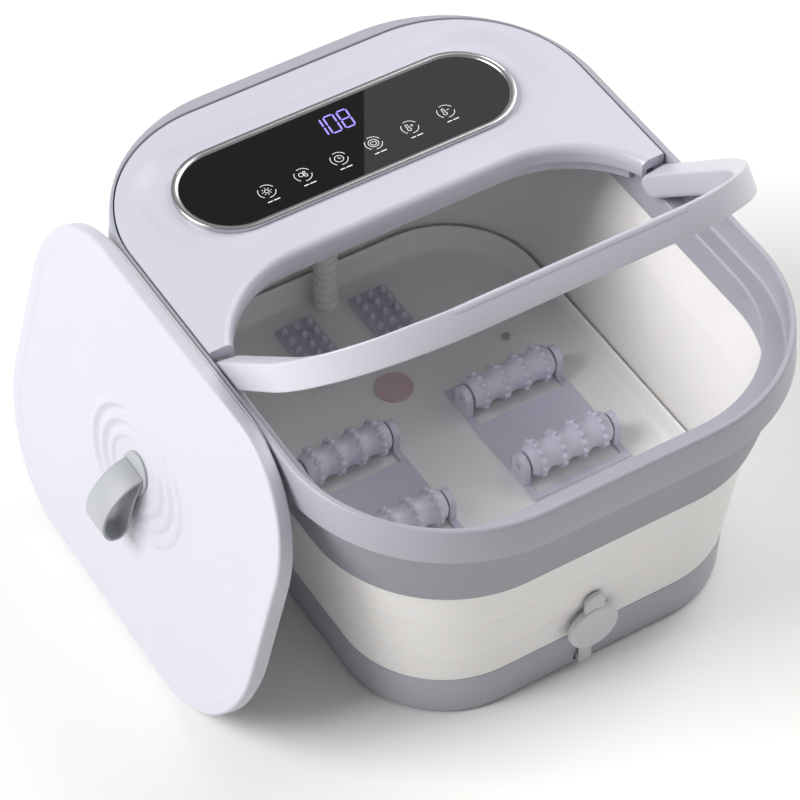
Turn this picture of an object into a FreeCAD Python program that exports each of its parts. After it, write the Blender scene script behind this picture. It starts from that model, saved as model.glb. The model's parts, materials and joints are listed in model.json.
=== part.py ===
import FreeCAD, Part

import math
import os
import re

import Sketcher

# Collapsible foot spa basin, shown unfolded with its carrying bow part-raised and its lid
# leaning on the left side. Millimetres; +Z up, +Y towards the control deck at the back, +X right.
# The origin is the centre of the underside, on the face of the middle foot.

os.makedirs("parts", exist_ok=True)
doc = FreeCAD.newDocument("foot_spa_basin")

SIZES = {
    # overall
    "half_width": 178.0,  # rim, centre to side, at its top edge
    "half_length": 215.0,  # rim, centre to front
    "height": 226.0,  # rim top above the floor
    "rim_corner": 117.0,
    # rim frame
    "rim_band": 27.0,  # height of the outer band
    "rim_flare": 1.9,  # how far the band leans out at its lower edge
    "side_land": 4.5,  # top edge width at the sides and front
    "rear_land": 10.5,
    "rear_corner": 98.0,  # corner of the opening behind the deck
    "ledge_drop": 22.5,  # handle ledge below the rim top
    "ledge_width": 16.5,  # ledge, from the rim's inner face to the curtain
    "front_ledge": 30.5,  # from the rim's front face to the well
    "well_corner": 88.0,
    "curtain_front": 21.0,  # from the rim's front face to the curtain, which clears the plug
    "curtain_corner": 94.0,
    "curtain_depth": 27.5,  # curtain wall below the ledge
    "curtain_wall": 3.0,
    # skirt
    "skirt_drop": 57.5,  # below the rim band
    "skirt_top_inset": 4.0,
    "skirt_low_inset": 17.0,
    "skirt_wall": 3.0,
    "skirt_corner": 98.0,
    # base
    "base_height": 37.6,
    "base_inset": 36.0,
    "base_taper": 1.5,
    "base_corner": 75.0,
    "base_wall": 3.0,
    "foot_height": 2.0,
    "foot_radius": 10.0,
    "cover_skin": 3.0,
    "floor_skin": 3.0,
    "collar_rise": 21.0,  # tub collar above the floor
    "collar_wall": 2.5,
    "floor_ledge": 6.0,
    # folding wall
    "wall_skin": 3.0,
    "wall_waist_gap": 1.5,  # clear of the skirt's lower edge
    "cuff_height": 12.0,
    "fit_gap": 0.3,
    # control deck
    "deck_skin": 2.6,
    "deck_gap": 0.4,
    "deck_lip": 14.0,  # depth of the deck's front edge
    "deck_tip": 5.5,  # y of the two front tips
    "tray_depth": 14.0,
    "tray_skin": 2.4,
    "tray_inset": 9.0,
    "deck_flange": 2.5,
    "lip_relief": 25.0,
    "dish_half": 154.0,
    "dish_front": 75.0,
    "dish_back": 184.0,
    "dish_corner": 50.0,
    "dish_depth": 2.0,
    "deck_board_long": 150.0,
    "deck_board_wide": 60.0,
    "deck_board_back": 84.0,
    "tray_screw_inset": 20.5,  # from the rim's back
    "bellows_radius": 9.0,
    "bellows_back": 158.0,
    "bellows_step": 8.0,
    # control panel
    "panel_half": 127.0,
    "panel_width": 80.0,
    "panel_middle": 126.5,  # y of the panel's long axis
    "bezel_rise": 3.2,
    "bezel_wall": 5.0,
    "glass_skin": 2.4,
    "glass_gap": 0.15,
    "board_gap": 0.2,
    "window_step": 2.0,  # glass rests on the deck round its window
    "digits_long": 42.0,
    "digits_wide": 18.0,
    "digits_tall": 6.0,
    "digits_middle": 144.0,
    # handle bow
    "pivot_back": -5.0,  # y of the pivot axis
    "pivot_drop": 12.5,  # pivot axis below the rim top
    "pin_radius": 3.0,
    "pin_play": 0.05,
    "pin_seat": 2.8,  # how deep a pin sits in the rim
    "pin_long": 15.0,
    "bow_reach": 187.0,
    "bow_half": 171.5,
    "bow_corner": 103.0,
    "bow_height": 19.0,
    "bow_raise": 42.0,  # degrees above its stowed place
    "bow_root": 12.5,  # thickness of an arm at its pivot
    "bow_lip": 8.0,
    "bow_lip_height": 5.0,
    "grip_half": 83.0,
    "grip_width": 3.0,
    "grip_skin": 2.0,
    # lid
    "lid_half": 161.0,
    "lid_front": -185.5,
    "lid_back": 51.5,
    "lid_front_corner": 90.0,
    "lid_back_corner": 80.0,
    "lid_plate": 10.0,
    "lid_liner": 2.2,
    "lid_lean": 14.7,  # degrees from upright
    "lid_shift": 28.0,  # y of its middle as it leans
    "lid_play": 1.5,  # gap round the lid when it is closed
    "lean_gap": 0.3,
    "lid_gasket": 2.0,
    "strap_width": 22.0,
    "strap_skin": 2.0,
    "strap_reach": 30.0,  # from the boss to the middle of the loop's round end
    "strap_rise": 15.0,
    "strap_round": 11.0,
    "boss_radius": 15.0,
    "boss_height": 2.4,
    # massage rollers
    "roller_half": 33.0,
    "roller_radius": 12.0,
    "roller_step": 72.0,  # between the two rollers of one foot
    "roller_side": 66.0,  # x of each foot's rollers
    "roller_middle": -14.0,
    "axle_radius": 2.5,
    "roller_play": 0.08,
    "roller_lift": 15.5,  # axle above the tub floor
    "ring_step": 16.5,
    "ring_width": 7.0,
    "ring_rise": 2.5,
    "post_skin": 5.0,
    "cradle_half": 58.0,
    "strip_side": 30.0,
    "strip_half": 15.0,
    "strip_front": 92.0,
    "strip_long": 62.0,
    "nub_step": 10.0,
    "nub_radius": 3.0,
    "nub_rise": 6.0,
    # drain
    "drain_side": -4.0,
    "drain_rise": 49.0,
    "drain_bore": 6.0,
    "spout_wall": 2.0,
    "plug_radius": 18.5,
    "plug_skin": 5.0,
    "tether_width": 10.0,
    "tether_skin": 2.4,
    "tether_foot": 6.0,
    "tether_hook": 6.0,
    "spout_proud": 6.0,  # outer flange beyond the base's front
    "plug_stem_long": 11.0,
    # base fittings
    "shelf_skin": 3.0,
    "post_inset": 11.0,
    "post_spread": 56.0,
    "post_radius": 5.0,
    "screw_radius": 1.5,
    "screw_head": 3.4,
    "screw_sink": 1.6,
    "screw_length": 14.0,
    "foot_inset": 34.0,
    "vent_side": 30.0,
    "vent_back": 96.0,
    "vent_width": 3.0,
    "vent_length": 40.0,
    "vent_step": 8.0,
    "heater_back": -6.0,
    "heater_long": 120.0,
    "heater_wide": 76.0,
    "heater_skin": 3.0,
    "probe_side": 92.0,
    "probe_back": 66.0,
    "probe_radius": 3.0,
    "lens_back": 66.0,
    "lens_radius": 11.0,
    "pad_height": 2.0,
    "pump_side": 8.0,
    "pump_back": 86.0,
    "pump_long": 70.0,
    "pump_wide": 48.0,
    "pump_tall": 22.0,
    "motor_long": 24.0,
    "hose_side": 72.0,
    "hose_rise": 18.0,
    "hose_radius": 4.0,
    "air_middle": -112.0,
    "air_step": 14.0,
    "air_row": 18.0,
    "air_radius": 1.5,
    "air_box_long": 176.0,
    "air_box_wide": 40.0,
    "air_box_tall": 20.0,
    "board_side": -112.0,
    "board_back": 84.0,
    "board_long": 96.0,
    "board_wide": 56.0,
    "board_skin": 1.6,
    "standoff_height": 5.0,
    "gland_side": -58.0,
    "gland_rise": 18.0,
    "gland_radius": 6.0,
    "gland_proud": 7.0,
}

# How many of each repeated feature.
AIR_HOLES = 11
VENTS = 6
NUB_ROWS = 6
BELLOWS_RIBS = 19

sheet = doc.addObject("Spreadsheet::Sheet", "Dims")
for row, (word, value) in enumerate(SIZES.items(), start=1):
    sheet.set(f"A{row}", word)
    sheet.set(f"B{row}", str(value))
    sheet.setAlias(f"B{row}", word)
doc.recompute()

# Formulas shared by several pieces, each worked out from the sheet.
RIM_LOW = "(height - rim_band)"
LEDGE = "(height - ledge_drop)"
CURTAIN_LOW = "(height - ledge_drop - curtain_depth)"
SKIRT_LOW = "(height - rim_band - skirt_drop)"
INNER_HALF = "(half_width - side_land)"
INNER_FRONT = "(half_length - side_land)"
INNER_BACK = "(half_length - rear_land)"
WELL_HALF = "(half_width - side_land - ledge_width)"
WELL_FRONT = "(half_length - front_ledge)"
WELL_BACK = "(half_length - rear_land - ledge_width)"
BASE_HALF = "(half_width - base_inset)"
BASE_LONG = "(half_length - base_inset)"
FLOOR = "(base_height - 0.6)"
PIVOT_Z = "(height - pivot_drop)"
DECK_LOW = "(height - deck_lip)"
TRAY_LOW = "(height - deck_lip - tray_depth)"
AXLE_Z = "(base_height - 0.6 + roller_lift)"

NODES = []


def formula(text):
    """Point each size word of a formula at the sheet."""
    return re.sub(r"[a-z_]+", lambda m: "Dims." + m.group() if m.group() in SIZES else m.group(), str(text))


def number(text):
    """The value of a formula now."""
    return float(sheet.evalExpression(formula(text)))


def bind(item, path, text):
    item.setExpression(path, formula(text))


def keep(item, label):
    """Name a finished sub-part; its label is its file's name."""
    item.Label = label
    NODES.append(item)
    return item


# ---------------------------------------------------------------- sketches and features


def new_body(name):
    return doc.addObject("PartDesign::Body", name)


def plane(body, role):
    return next(f for f in body.Origin.OriginFeatures if f.Role == role)


def new_sketch(body, name, level="0", role="XY_Plane"):
    """A sketch parallel to one of the body's planes, at a level along that plane's normal."""
    sketch = body.newObject("Sketcher::SketchObject", name)
    sketch.AttachmentSupport = [(plane(body, role), "")]
    sketch.MapMode = "FlatFace"
    bind(sketch, "AttachmentOffset.Base.z", level)
    return sketch


def add_outline(sketch, tag, half, front, back, front_corner, back_corner):
    """A rectangle with round corners, mirrored about Y: front and back are distances from X."""
    hx, yf, yb = number(half), -number(front), number(back)
    rf, rb = number(front_corner), number(back_corner)
    at = FreeCAD.Vector
    up = at(0, 0, 1)

    def arc(x, y, radius, start):
        circle = Part.Circle(at(x, y, 0), up, radius)
        return Part.ArcOfCircle(circle, math.radians(start), math.radians(start + 90))

    first = sketch.GeometryCount
    sketch.addGeometry(
        [
            Part.LineSegment(at(-hx + rf, yf, 0), at(hx - rf, yf, 0)),
            arc(hx - rf, yf + rf, rf, 270),
            Part.LineSegment(at(hx, yf + rf, 0), at(hx, yb - rb, 0)),
            arc(hx - rb, yb - rb, rb, 0),
            Part.LineSegment(at(hx - rb, yb, 0), at(-hx + rb, yb, 0)),
            arc(-hx + rb, yb - rb, rb, 90),
            Part.LineSegment(at(-hx, yb - rb, 0), at(-hx, yf + rf, 0)),
            arc(-hx + rf, yf + rf, rf, 180),
        ],
        False,
    )
    rule = Sketcher.Constraint
    for k in range(8):
        sketch.addConstraint(rule("Tangent", first + k, 2, first + (k + 1) % 8, 1))
    for k, way in ((0, "Horizontal"), (2, "Vertical"), (4, "Horizontal"), (6, "Vertical")):
        sketch.addConstraint(rule(way, first + k))
    sketch.addConstraint(rule("Equal", first + 1, first + 7))
    sketch.addConstraint(rule("Equal", first + 3, first + 5))
    sized = (
        ("right", rule("DistanceX", -1, 1, first + 2, 1, hx), half),
        ("left", rule("DistanceX", first + 6, 1, -1, 1, hx), half),
        ("front", rule("DistanceY", first + 0, 1, -1, 1, -yf), front),
        ("back", rule("DistanceY", -1, 1, first + 4, 1, yb), back),
        ("front_round", rule("Radius", first + 1, rf), front_corner),
        ("back_round", rule("Radius", first + 3, rb), back_corner),
    )
    for name, constraint, text in sized:
        index = sketch.addConstraint(constraint)
        sketch.renameConstraint(index, f"{tag}_{name}")
        bind(sketch, f"Constraints.{tag}_{name}", text)


def ring_sketch(body, name, level, *outlines):
    sketch = new_sketch(body, name, level)
    for k, outline in enumerate(outlines):
        add_outline(sketch, f"loop{'abcd'[k]}", *outline)
    return sketch


def pad(body, name, low, high, *outlines):
    """Material between two levels inside the first outline and outside the others."""
    feature = body.newObject("PartDesign::Pad", name)
    feature.Profile = ring_sketch(body, name + "_sketch", low, *outlines)
    bind(feature, "Length", f"({high}) - ({low})")
    return feature


def pocket(body, name, low, high, *outlines):
    """Remove what lies between two levels inside the first outline and outside the others."""
    feature = body.newObject("PartDesign::Pocket", name)
    feature.Profile = ring_sketch(body, name + "_sketch", high, *outlines)
    bind(feature, "Length", f"({high}) - ({low})")
    return feature


def loft(body, name, sections, cut=False):
    """A tapered wall or hollow through several (level, outline) sections."""
    feature = body.newObject("PartDesign::SubtractiveLoft" if cut else "PartDesign::AdditiveLoft", name)
    sketches = [ring_sketch(body, f"{name}_{k}", level, outline) for k,
                (level, outline) in enumerate(sections)]
    feature.Profile = sketches[0]
    feature.Sections = sketches[1:]
    feature.Ruled = True
    return feature


def even(half, length, corner):
    """An outline that is the same at the front and the back."""
    return (half, length, length, corner, corner)


def grown(outline, by):
    """An outline moved outwards by a formula, its corners growing with it."""
    half, front, back, fr, br = outline
    return tuple(f"({item}) + ({by})" for item in (half, front, back, fr, br))


# ---------------------------------------------------------------- primitives and booleans


def place(item, x="0", y="0", z="0"):
    for axis, text in zip("xyz", (x, y, z)):
        bind(item, f"Placement.Base.{axis}", text)
    return item


def box(name, low, size):
    item = doc.addObject("Part::Box", name)
    for side, text in zip(("Length", "Width", "Height"), size):
        bind(item, side, text)
    return place(item, *low)


TURNS = {
    "Z": FreeCAD.Rotation(),
    "X": FreeCAD.Rotation(FreeCAD.Vector(0, 1, 0), 90),
    "Y": FreeCAD.Rotation(FreeCAD.Vector(1, 0, 0), -90),
}


def cylinder(name, start, radius, length, along="Z"):
    item = doc.addObject("Part::Cylinder", name)
    bind(item, "Radius", radius)
    bind(item, "Height", length)
    item.Placement = FreeCAD.Placement(FreeCAD.Vector(), TURNS[along])
    return place(item, *start)


def cut(name, base, *tools):
    item = doc.addObject("Part::Cut", name)
    item.Base = base
    item.Tool = tools[0] if len(tools) == 1 else join(name + "_tools", *tools)
    return item


def join(name, *shapes):
    item = doc.addObject("Part::MultiFuse", name)
    item.Shapes = list(shapes)
    return item


def group(name, *shapes):
    """Separate solids kept in one node."""
    item = doc.addObject("Part::Compound", name)
    item.Links = list(shapes)
    return item


def common(name, one, other):
    item = doc.addObject("Part::Common", name)
    item.Base = one
    item.Tool = other
    return item


# ---------------------------------------------------------------- outlines that several pieces share

RIM_TOP = even("half_width", "half_length", "rim_corner")
MOUTH = (INNER_HALF, INNER_FRONT, INNER_BACK, "rim_corner - side_land", "rear_corner")
WELL = (WELL_HALF, WELL_FRONT, WELL_BACK, "well_corner", "rear_corner - ledge_width")
CURTAIN = (WELL_HALF, "half_length - curtain_front", WELL_BACK, "curtain_corner",
           "rear_corner - ledge_width")
BASE = even(BASE_HALF, BASE_LONG, "base_corner")
LID_SEAT = ("lid_half", "0 - lid_front", "lid_back", "lid_front_corner", "lid_back_corner")
DECK = grown(MOUTH, "0 - deck_gap")
SKIRT_TOP = even("half_width - skirt_top_inset", "half_length - skirt_top_inset",
                 "skirt_corner + skirt_low_inset - skirt_top_inset")
SKIRT_FOOT = even("half_width - skirt_low_inset", "half_length - skirt_low_inset", "skirt_corner")


def panel_outline(inset):
    """The pill of the control panel, moved inwards; its ends stop just short of full half circles."""
    reach = f"(panel_width / 2 - ({inset}))"
    return (f"panel_half - ({inset})", f"{reach} - panel_middle", f"panel_middle + {reach}",
            f"{reach} - 0.4", f"{reach} - 0.4")


def prism(name, low, high, *outlines):
    body = new_body(name)
    pad(body, name + "_pad", low, high, *outlines)
    return body


# ---------------------------------------------------------------- rim, skirt and folding wall


def make_rim_frame():
    body = new_body("rim_casting")
    loft(body, "band", [(RIM_LOW, grown(RIM_TOP, "rim_flare")), ("height", RIM_TOP)])
    pocket(body, "mouth", LEDGE, "height + 1", MOUTH)
    pocket(body, "well", f"{RIM_LOW} - 1", f"{LEDGE} + 1", WELL)
    pad(body, "curtain", CURTAIN_LOW, f"{RIM_LOW} + 1", grown(CURTAIN, "curtain_wall"), CURTAIN)
    holes = [
        cylinder(f"pin_hole_{k}", (start, "pivot_back", PIVOT_Z), "pin_radius", "pin_seat + 1", "X")
        for k, start in enumerate((f"{INNER_HALF} - 1", f"0 - {INNER_HALF} - pin_seat"))
    ]
    keep(cut("rim_frame_cut", body, *holes), "rim_frame")


def make_skirt():
    body = new_body("skirt_body")
    loft(body, "outside", [(SKIRT_LOW, SKIRT_FOOT), (RIM_LOW, SKIRT_TOP)])
    inner = "0 - skirt_wall"
    loft(body, "inside", [(SKIRT_LOW, grown(SKIRT_FOOT, inner)), (RIM_LOW, grown(SKIRT_TOP, inner))],
         cut=True)
    keep(body, "skirt_ring")


def make_folding_wall():
    waist = grown(SKIRT_FOOT, "0 - skirt_wall - wall_waist_gap")
    cuff = grown(CURTAIN, "curtain_wall + fit_gap + wall_skin")
    levels = [("base_height", BASE), (SKIRT_LOW, waist), (CURTAIN_LOW, cuff),
              (f"{CURTAIN_LOW} + cuff_height", cuff)]
    body = new_body("wall_body")
    loft(body, "outside", levels)
    loft(body, "inside", [(level, grown(outline, "0 - wall_skin")) for level, outline in levels], cut=True)
    hole = cylinder("wall_drain_hole", ("drain_side", f"0 - {BASE_LONG} - 12", "drain_rise"),
                    "drain_bore + spout_wall + fit_gap", "24", "Y")
    keep(cut("wall_cut", body, hole), "folding_wall")


# ---------------------------------------------------------------- base


POSTS = [(sx, sy) for sx in (-1, 1) for sy in (-1, 0, 1)]


def post_place(sx, sy):
    return f"{sx} * ({BASE_HALF} - post_inset)", f"{sy} * ({BASE_LONG} - post_inset - post_spread)"


def make_base_shell():
    body = new_body("base_body")
    loft(body, "outside", [("foot_height", grown(BASE, "0 - base_taper")), ("base_height", BASE)])
    seat = f"{FLOOR} - floor_skin"
    pocket(body, "floor_seat", seat, "base_height + 1", grown(BASE, "0 - base_wall"))
    pocket(body, "floor_shelf", f"{seat} - shelf_skin - 1", f"{seat} + 1",
           grown(BASE, "0 - base_wall - floor_ledge"))
    pocket(body, "hollow", "foot_height - 1", f"{seat} - shelf_skin",
           grown(BASE, "0 - base_wall - base_taper"))
    posts, holes = [], []
    for k, (sx, sy) in enumerate(POSTS):
        x, y = post_place(sx, sy)
        low = "foot_height + cover_skin"
        posts.append(cylinder(f"post_{k}", (x, y, low), "post_radius",
                              f"{seat} - shelf_skin + 1 - ({low})"))
        holes.append(cylinder(f"post_hole_{k}", (x, y, "foot_height"), "screw_radius", "screw_length + 1"))
    slot = box("tether_slot", ("drain_side - tether_width / 2 - fit_gap", f"0 - {BASE_LONG} - 1",
                               "tether_foot"),
               ("tether_width + 2 * fit_gap", "base_wall + 3", "tether_hook + fit_gap"))
    gland = cylinder("gland_hole", ("gland_side", f"{BASE_LONG} - base_wall - 4", "gland_rise"),
                     "gland_radius + fit_gap", "base_wall + 6", "Y")
    solid = join("base_posts", body, *posts)
    keep(cut("base_cut", solid, *holes, slot, gland), "base_shell")


def make_tub_floor():
    body = new_body("floor_body")
    edge = grown(BASE, "0 - base_wall - fit_gap")
    pad(body, "plate", f"{FLOOR} - floor_skin", FLOOR, edge)
    pad(body, "collar", f"{FLOOR} - 1", f"{FLOOR} + collar_rise", edge, grown(edge, "0 - collar_wall"))
    tools = [
        cylinder("collar_drain_hole", ("drain_side", f"0 - {BASE_LONG}", "drain_rise"),
                 "drain_bore + spout_wall", "base_wall + collar_wall + 4", "Y"),
        cylinder("lens_hole", ("0", "lens_back", f"{FLOOR} - floor_skin - 1"), "lens_radius",
                 "floor_skin + 2"),
        cylinder("probe_hole", ("probe_side", "probe_back", f"{FLOOR} - floor_skin - 1"), "probe_radius",
                 "floor_skin + 2"),
    ]
    for row in range(2):
        for k in range(AIR_HOLES):
            x = f"({k} - {(AIR_HOLES - 1) / 2}) * air_step"
            y = f"air_middle + ({row} - 0.5) * air_row"
            tools.append(cylinder(f"air_hole_{row}_{k}", (x, y, f"{FLOOR} - floor_skin - 1"),
                                  "air_radius", "floor_skin + 2"))
    keep(cut("floor_cut", body, *tools), "tub_floor")


def make_bottom_cover():
    plate = prism("cover_plate", "foot_height", "foot_height + cover_skin",
                  grown(BASE, "0 - base_wall - base_taper - 0.2"))
    tools = []
    for k, (sx, sy) in enumerate(POSTS):
        x, y = post_place(sx, sy)
        tools.append(cylinder(f"cover_hole_{k}", (x, y, "foot_height - 1"), "screw_radius",
                              "cover_skin + 2"))
        tools.append(cylinder(f"cover_sink_{k}", (x, y, "foot_height - 1"), "screw_head", "1 + screw_sink"))
    for k in range(VENTS):
        tools.append(box(f"vent_{k}", (f"vent_side + {k} * vent_step", "vent_back", "foot_height - 1"),
                         ("vent_width", "vent_length", "cover_skin + 2")))
    keep(cut("cover_cut", plate, *tools), "bottom_cover")

    screws = []
    for k, (sx, sy) in enumerate(POSTS):
        x, y = post_place(sx, sy)
        head = cylinder(f"screw_head_{k}", (x, y, "foot_height"), "screw_head - 0.2", "screw_sink")
        shank = cylinder(f"screw_shank_{k}", (x, y, "foot_height"), "screw_radius", "screw_length")
        screws.append(join(f"screw_{k}", head, shank))
    keep(group("cover_screw_set", *screws), "cover_screws")

    feet = [cylinder("foot_middle", ("0", "0", "0"), "foot_radius", "foot_height")]
    for k, (sx, sy) in enumerate(((-1, -1), (1, -1), (-1, 1), (1, 1))):
        feet.append(cylinder(f"foot_{k}", (f"{sx} * ({BASE_HALF} - foot_inset)",
                                           f"{sy} * ({BASE_LONG} - foot_inset)",
                                           "0"), "foot_radius", "foot_height"))
    keep(group("foot_set", *feet), "rubber_feet")


def make_base_insides():
    under = f"{FLOOR} - floor_skin"
    inside = "foot_height + cover_skin"

    def block(label, x, y, low, size):
        """A box centred on x and y."""
        keep(box(label + "_box", (f"{x} - ({size[0]}) / 2", f"{y} - ({size[1]}) / 2", low), size), label)

    block("heater_plate", "0", "heater_back", f"{under} - heater_skin",
          ("heater_long", "heater_wide", "heater_skin"))
    block("heater_element", "0", "heater_back", f"{under} - heater_skin - 4",
          ("heater_long - 26", "22", "4"))
    keep(cylinder("cutoff_can", ("heater_long / 2 - 24", "heater_back - 20", f"{under} - heater_skin - 6"),
                  "7", "6"),
         "thermal_cutoff")
    probe = join("probe_joined",
                 cylinder("probe_stem", ("probe_side", "probe_back", f"{under} - 6"), "probe_radius",
                          "floor_skin + 6 + 2.5"),
                 cylinder("probe_flange", ("probe_side", "probe_back", f"{under} - 4"), "probe_radius + 3",
                          "4"))
    keep(probe, "temperature_probe")

    lens = join("lens_joined",
                cylinder("lens_body", ("0", "lens_back", under), "lens_radius", "floor_skin"),
                cylinder("lens_rim", ("0", "lens_back", FLOOR), "lens_radius + 2.5", "1.6"))
    keep(lens, "light_lens")
    keep(cylinder("led_disc", ("0", "lens_back", f"{under} - 1.6"), "lens_radius + 1", "1.6"),
         "light_board")

    # Air: pump on rubber pads, one hose, and a box under the rows of holes in the tub floor.
    pump = join("pump_joined",
                box("pump_case", ("pump_side", "pump_back", f"{inside} + pad_height"),
                    ("pump_long", "pump_wide", "pump_tall")),
                cylinder("pump_nozzle", ("hose_side", "pump_back - 8", "hose_rise"), "hose_radius", "10",
                         "Y"))
    keep(pump, "air_pump")
    keep(cylinder("motor_can", ("pump_side + pump_long", "pump_back + pump_wide / 2",
                                f"{inside} + pad_height + 10"),
                  "10", "motor_long", "X"), "pump_motor")
    pads = [cylinder(f"pump_pad_{k}", (f"pump_side + 8 + {k % 2} * (pump_long - 16)",
                                       f"pump_back + 8 + {k // 2} * (pump_wide - 16)", inside), "5",
                                       "pad_height")
            for k in range(4)]
    keep(group("pump_pad_set", *pads), "pump_pads")
    keep(cylinder("hose_tube", ("hose_side", "air_middle + air_box_wide / 2", "hose_rise"), "hose_radius",
                  "pump_back - 8 - (air_middle + air_box_wide / 2)", "Y"), "air_hose")
    shell = box("air_box_outer", ("0 - air_box_long / 2", "air_middle - air_box_wide / 2",
                                  f"{under} - air_box_tall"),
                ("air_box_long", "air_box_wide", "air_box_tall"))
    hollow = box("air_box_inner", ("2 - air_box_long / 2", "air_middle - air_box_wide / 2 + 2",
                                   f"{under} - air_box_tall + 2"),
                 ("air_box_long - 4", "air_box_wide - 4", "air_box_tall"))
    keep(cut("air_box_cut", shell, hollow), "air_box")

    # Electrics: board on four stand-offs, transformer on the board, inlet gland for a cord.
    board_low = f"{inside} + standoff_height"
    keep(box("power_pcb", ("board_side", "board_back", board_low),
             ("board_long", "board_wide", "board_skin")),
         "power_board")
    legs = [cylinder(f"standoff_{k}", (f"board_side + 5 + {k % 2} * (board_long - 10)",
                                       f"board_back + 5 + {k // 2} * (board_wide - 10)", inside),
                     "3", "standoff_height") for k in range(4)]
    keep(group("standoff_set", *legs), "board_standoffs")
    on_board = f"{board_low} + board_skin"
    keep(box("transformer_core", ("board_side + 12", "board_back + 12", on_board), ("30", "26", "14")),
         "transformer")
    keep(group("relay_pair", *[box(f"relay_{k}", (f"board_side + 50 + {k} * 20", "board_back + 14",
                                                  on_board),
                                   ("14", "18", "12")) for k in range(2)]), "relays")
    gland = join("gland_joined",
                 cylinder("gland_barrel", ("gland_side", f"{BASE_LONG} - base_wall - 6", "gland_rise"),
                          "gland_radius", "base_wall + 6", "Y"),
                 cylinder("gland_collar", ("gland_side", BASE_LONG, "gland_rise"), "gland_radius + 2.5",
                          "gland_proud", "Y"),
                 cylinder("gland_nut", ("gland_side", f"{BASE_LONG} - base_wall - base_taper - 5",
                                        "gland_rise"),
                          "gland_radius + 2", "4.6", "Y"))
    bore = cylinder("gland_bore", ("gland_side", f"{BASE_LONG} - base_wall - 8", "gland_rise"), "3.5",
                    "base_wall + gland_proud + 10", "Y")
    keep(cut("gland_cut", gland, bore), "cord_gland")


# ---------------------------------------------------------------- drain


def make_drain():
    # The collar's inner face, as a distance to the front.
    face = f"({BASE_LONG} - base_wall - fit_gap - collar_wall)"
    mouth = f"({BASE_LONG} + spout_proud)"
    tube = "drain_bore + spout_wall"
    spout = join(
        "spout_joined",
        cylinder("spout_tube", ("drain_side", f"0 - {mouth}", "drain_rise"), tube, f"{mouth} - {face} + 2",
                 "Y"),
        cylinder("spout_inner", ("drain_side", f"0 - {face}", "drain_rise"), f"{tube} + 3", "2", "Y"),
        cylinder("spout_outer", ("drain_side", f"0 - {mouth}", "drain_rise"), f"{tube} + 4", "1.8", "Y"))
    bore = cylinder("spout_bore", ("drain_side", f"0 - {mouth} - 1", "drain_rise"), "drain_bore",
                    f"{mouth} - {face} + 4", "Y")
    keep(cut("spout_cut", spout, bore), "drain_spout")

    back = f"({mouth} + fit_gap)"
    disc = cylinder("plug_disc", ("drain_side", f"0 - {back} - plug_skin", "drain_rise"), "plug_radius",
                    "plug_skin", "Y")
    stem = cylinder("plug_stem", ("drain_side", f"0 - {back} - 0.5", "drain_rise"), "drain_bore - fit_gap",
                    "plug_stem_long", "Y")
    tab = box("plug_tab", ("drain_side - 7.5", f"0 - {back} - plug_skin + 1",
                           "drain_rise + plug_radius - 4"),
              ("15", "plug_skin - 1.6", "11"))
    tab_top = cylinder("plug_tab_top", ("drain_side", f"0 - {back} - plug_skin + 1",
                                        "drain_rise + plug_radius + 6.5"),
                       "7.5", "plug_skin - 1.6", "Y")
    keep(join("plug_joined", disc, stem, tab, tab_top), "drain_plug")

    near = f"({BASE_LONG} + fit_gap)"
    strip = box("tether_strip", ("drain_side - tether_width / 2", f"0 - {near} - tether_skin",
                                 "tether_foot"),
                ("tether_width", "tether_skin", "drain_rise - plug_radius - 0.6 - tether_foot"))
    hook = box("tether_hook_box", ("drain_side - tether_width / 2", f"0 - {near} - 1", "tether_foot"),
               ("tether_width", "base_wall + 3", "tether_hook"))
    keep(join("tether_joined", strip, hook), "plug_tether")


# ---------------------------------------------------------------- massage rollers


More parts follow.
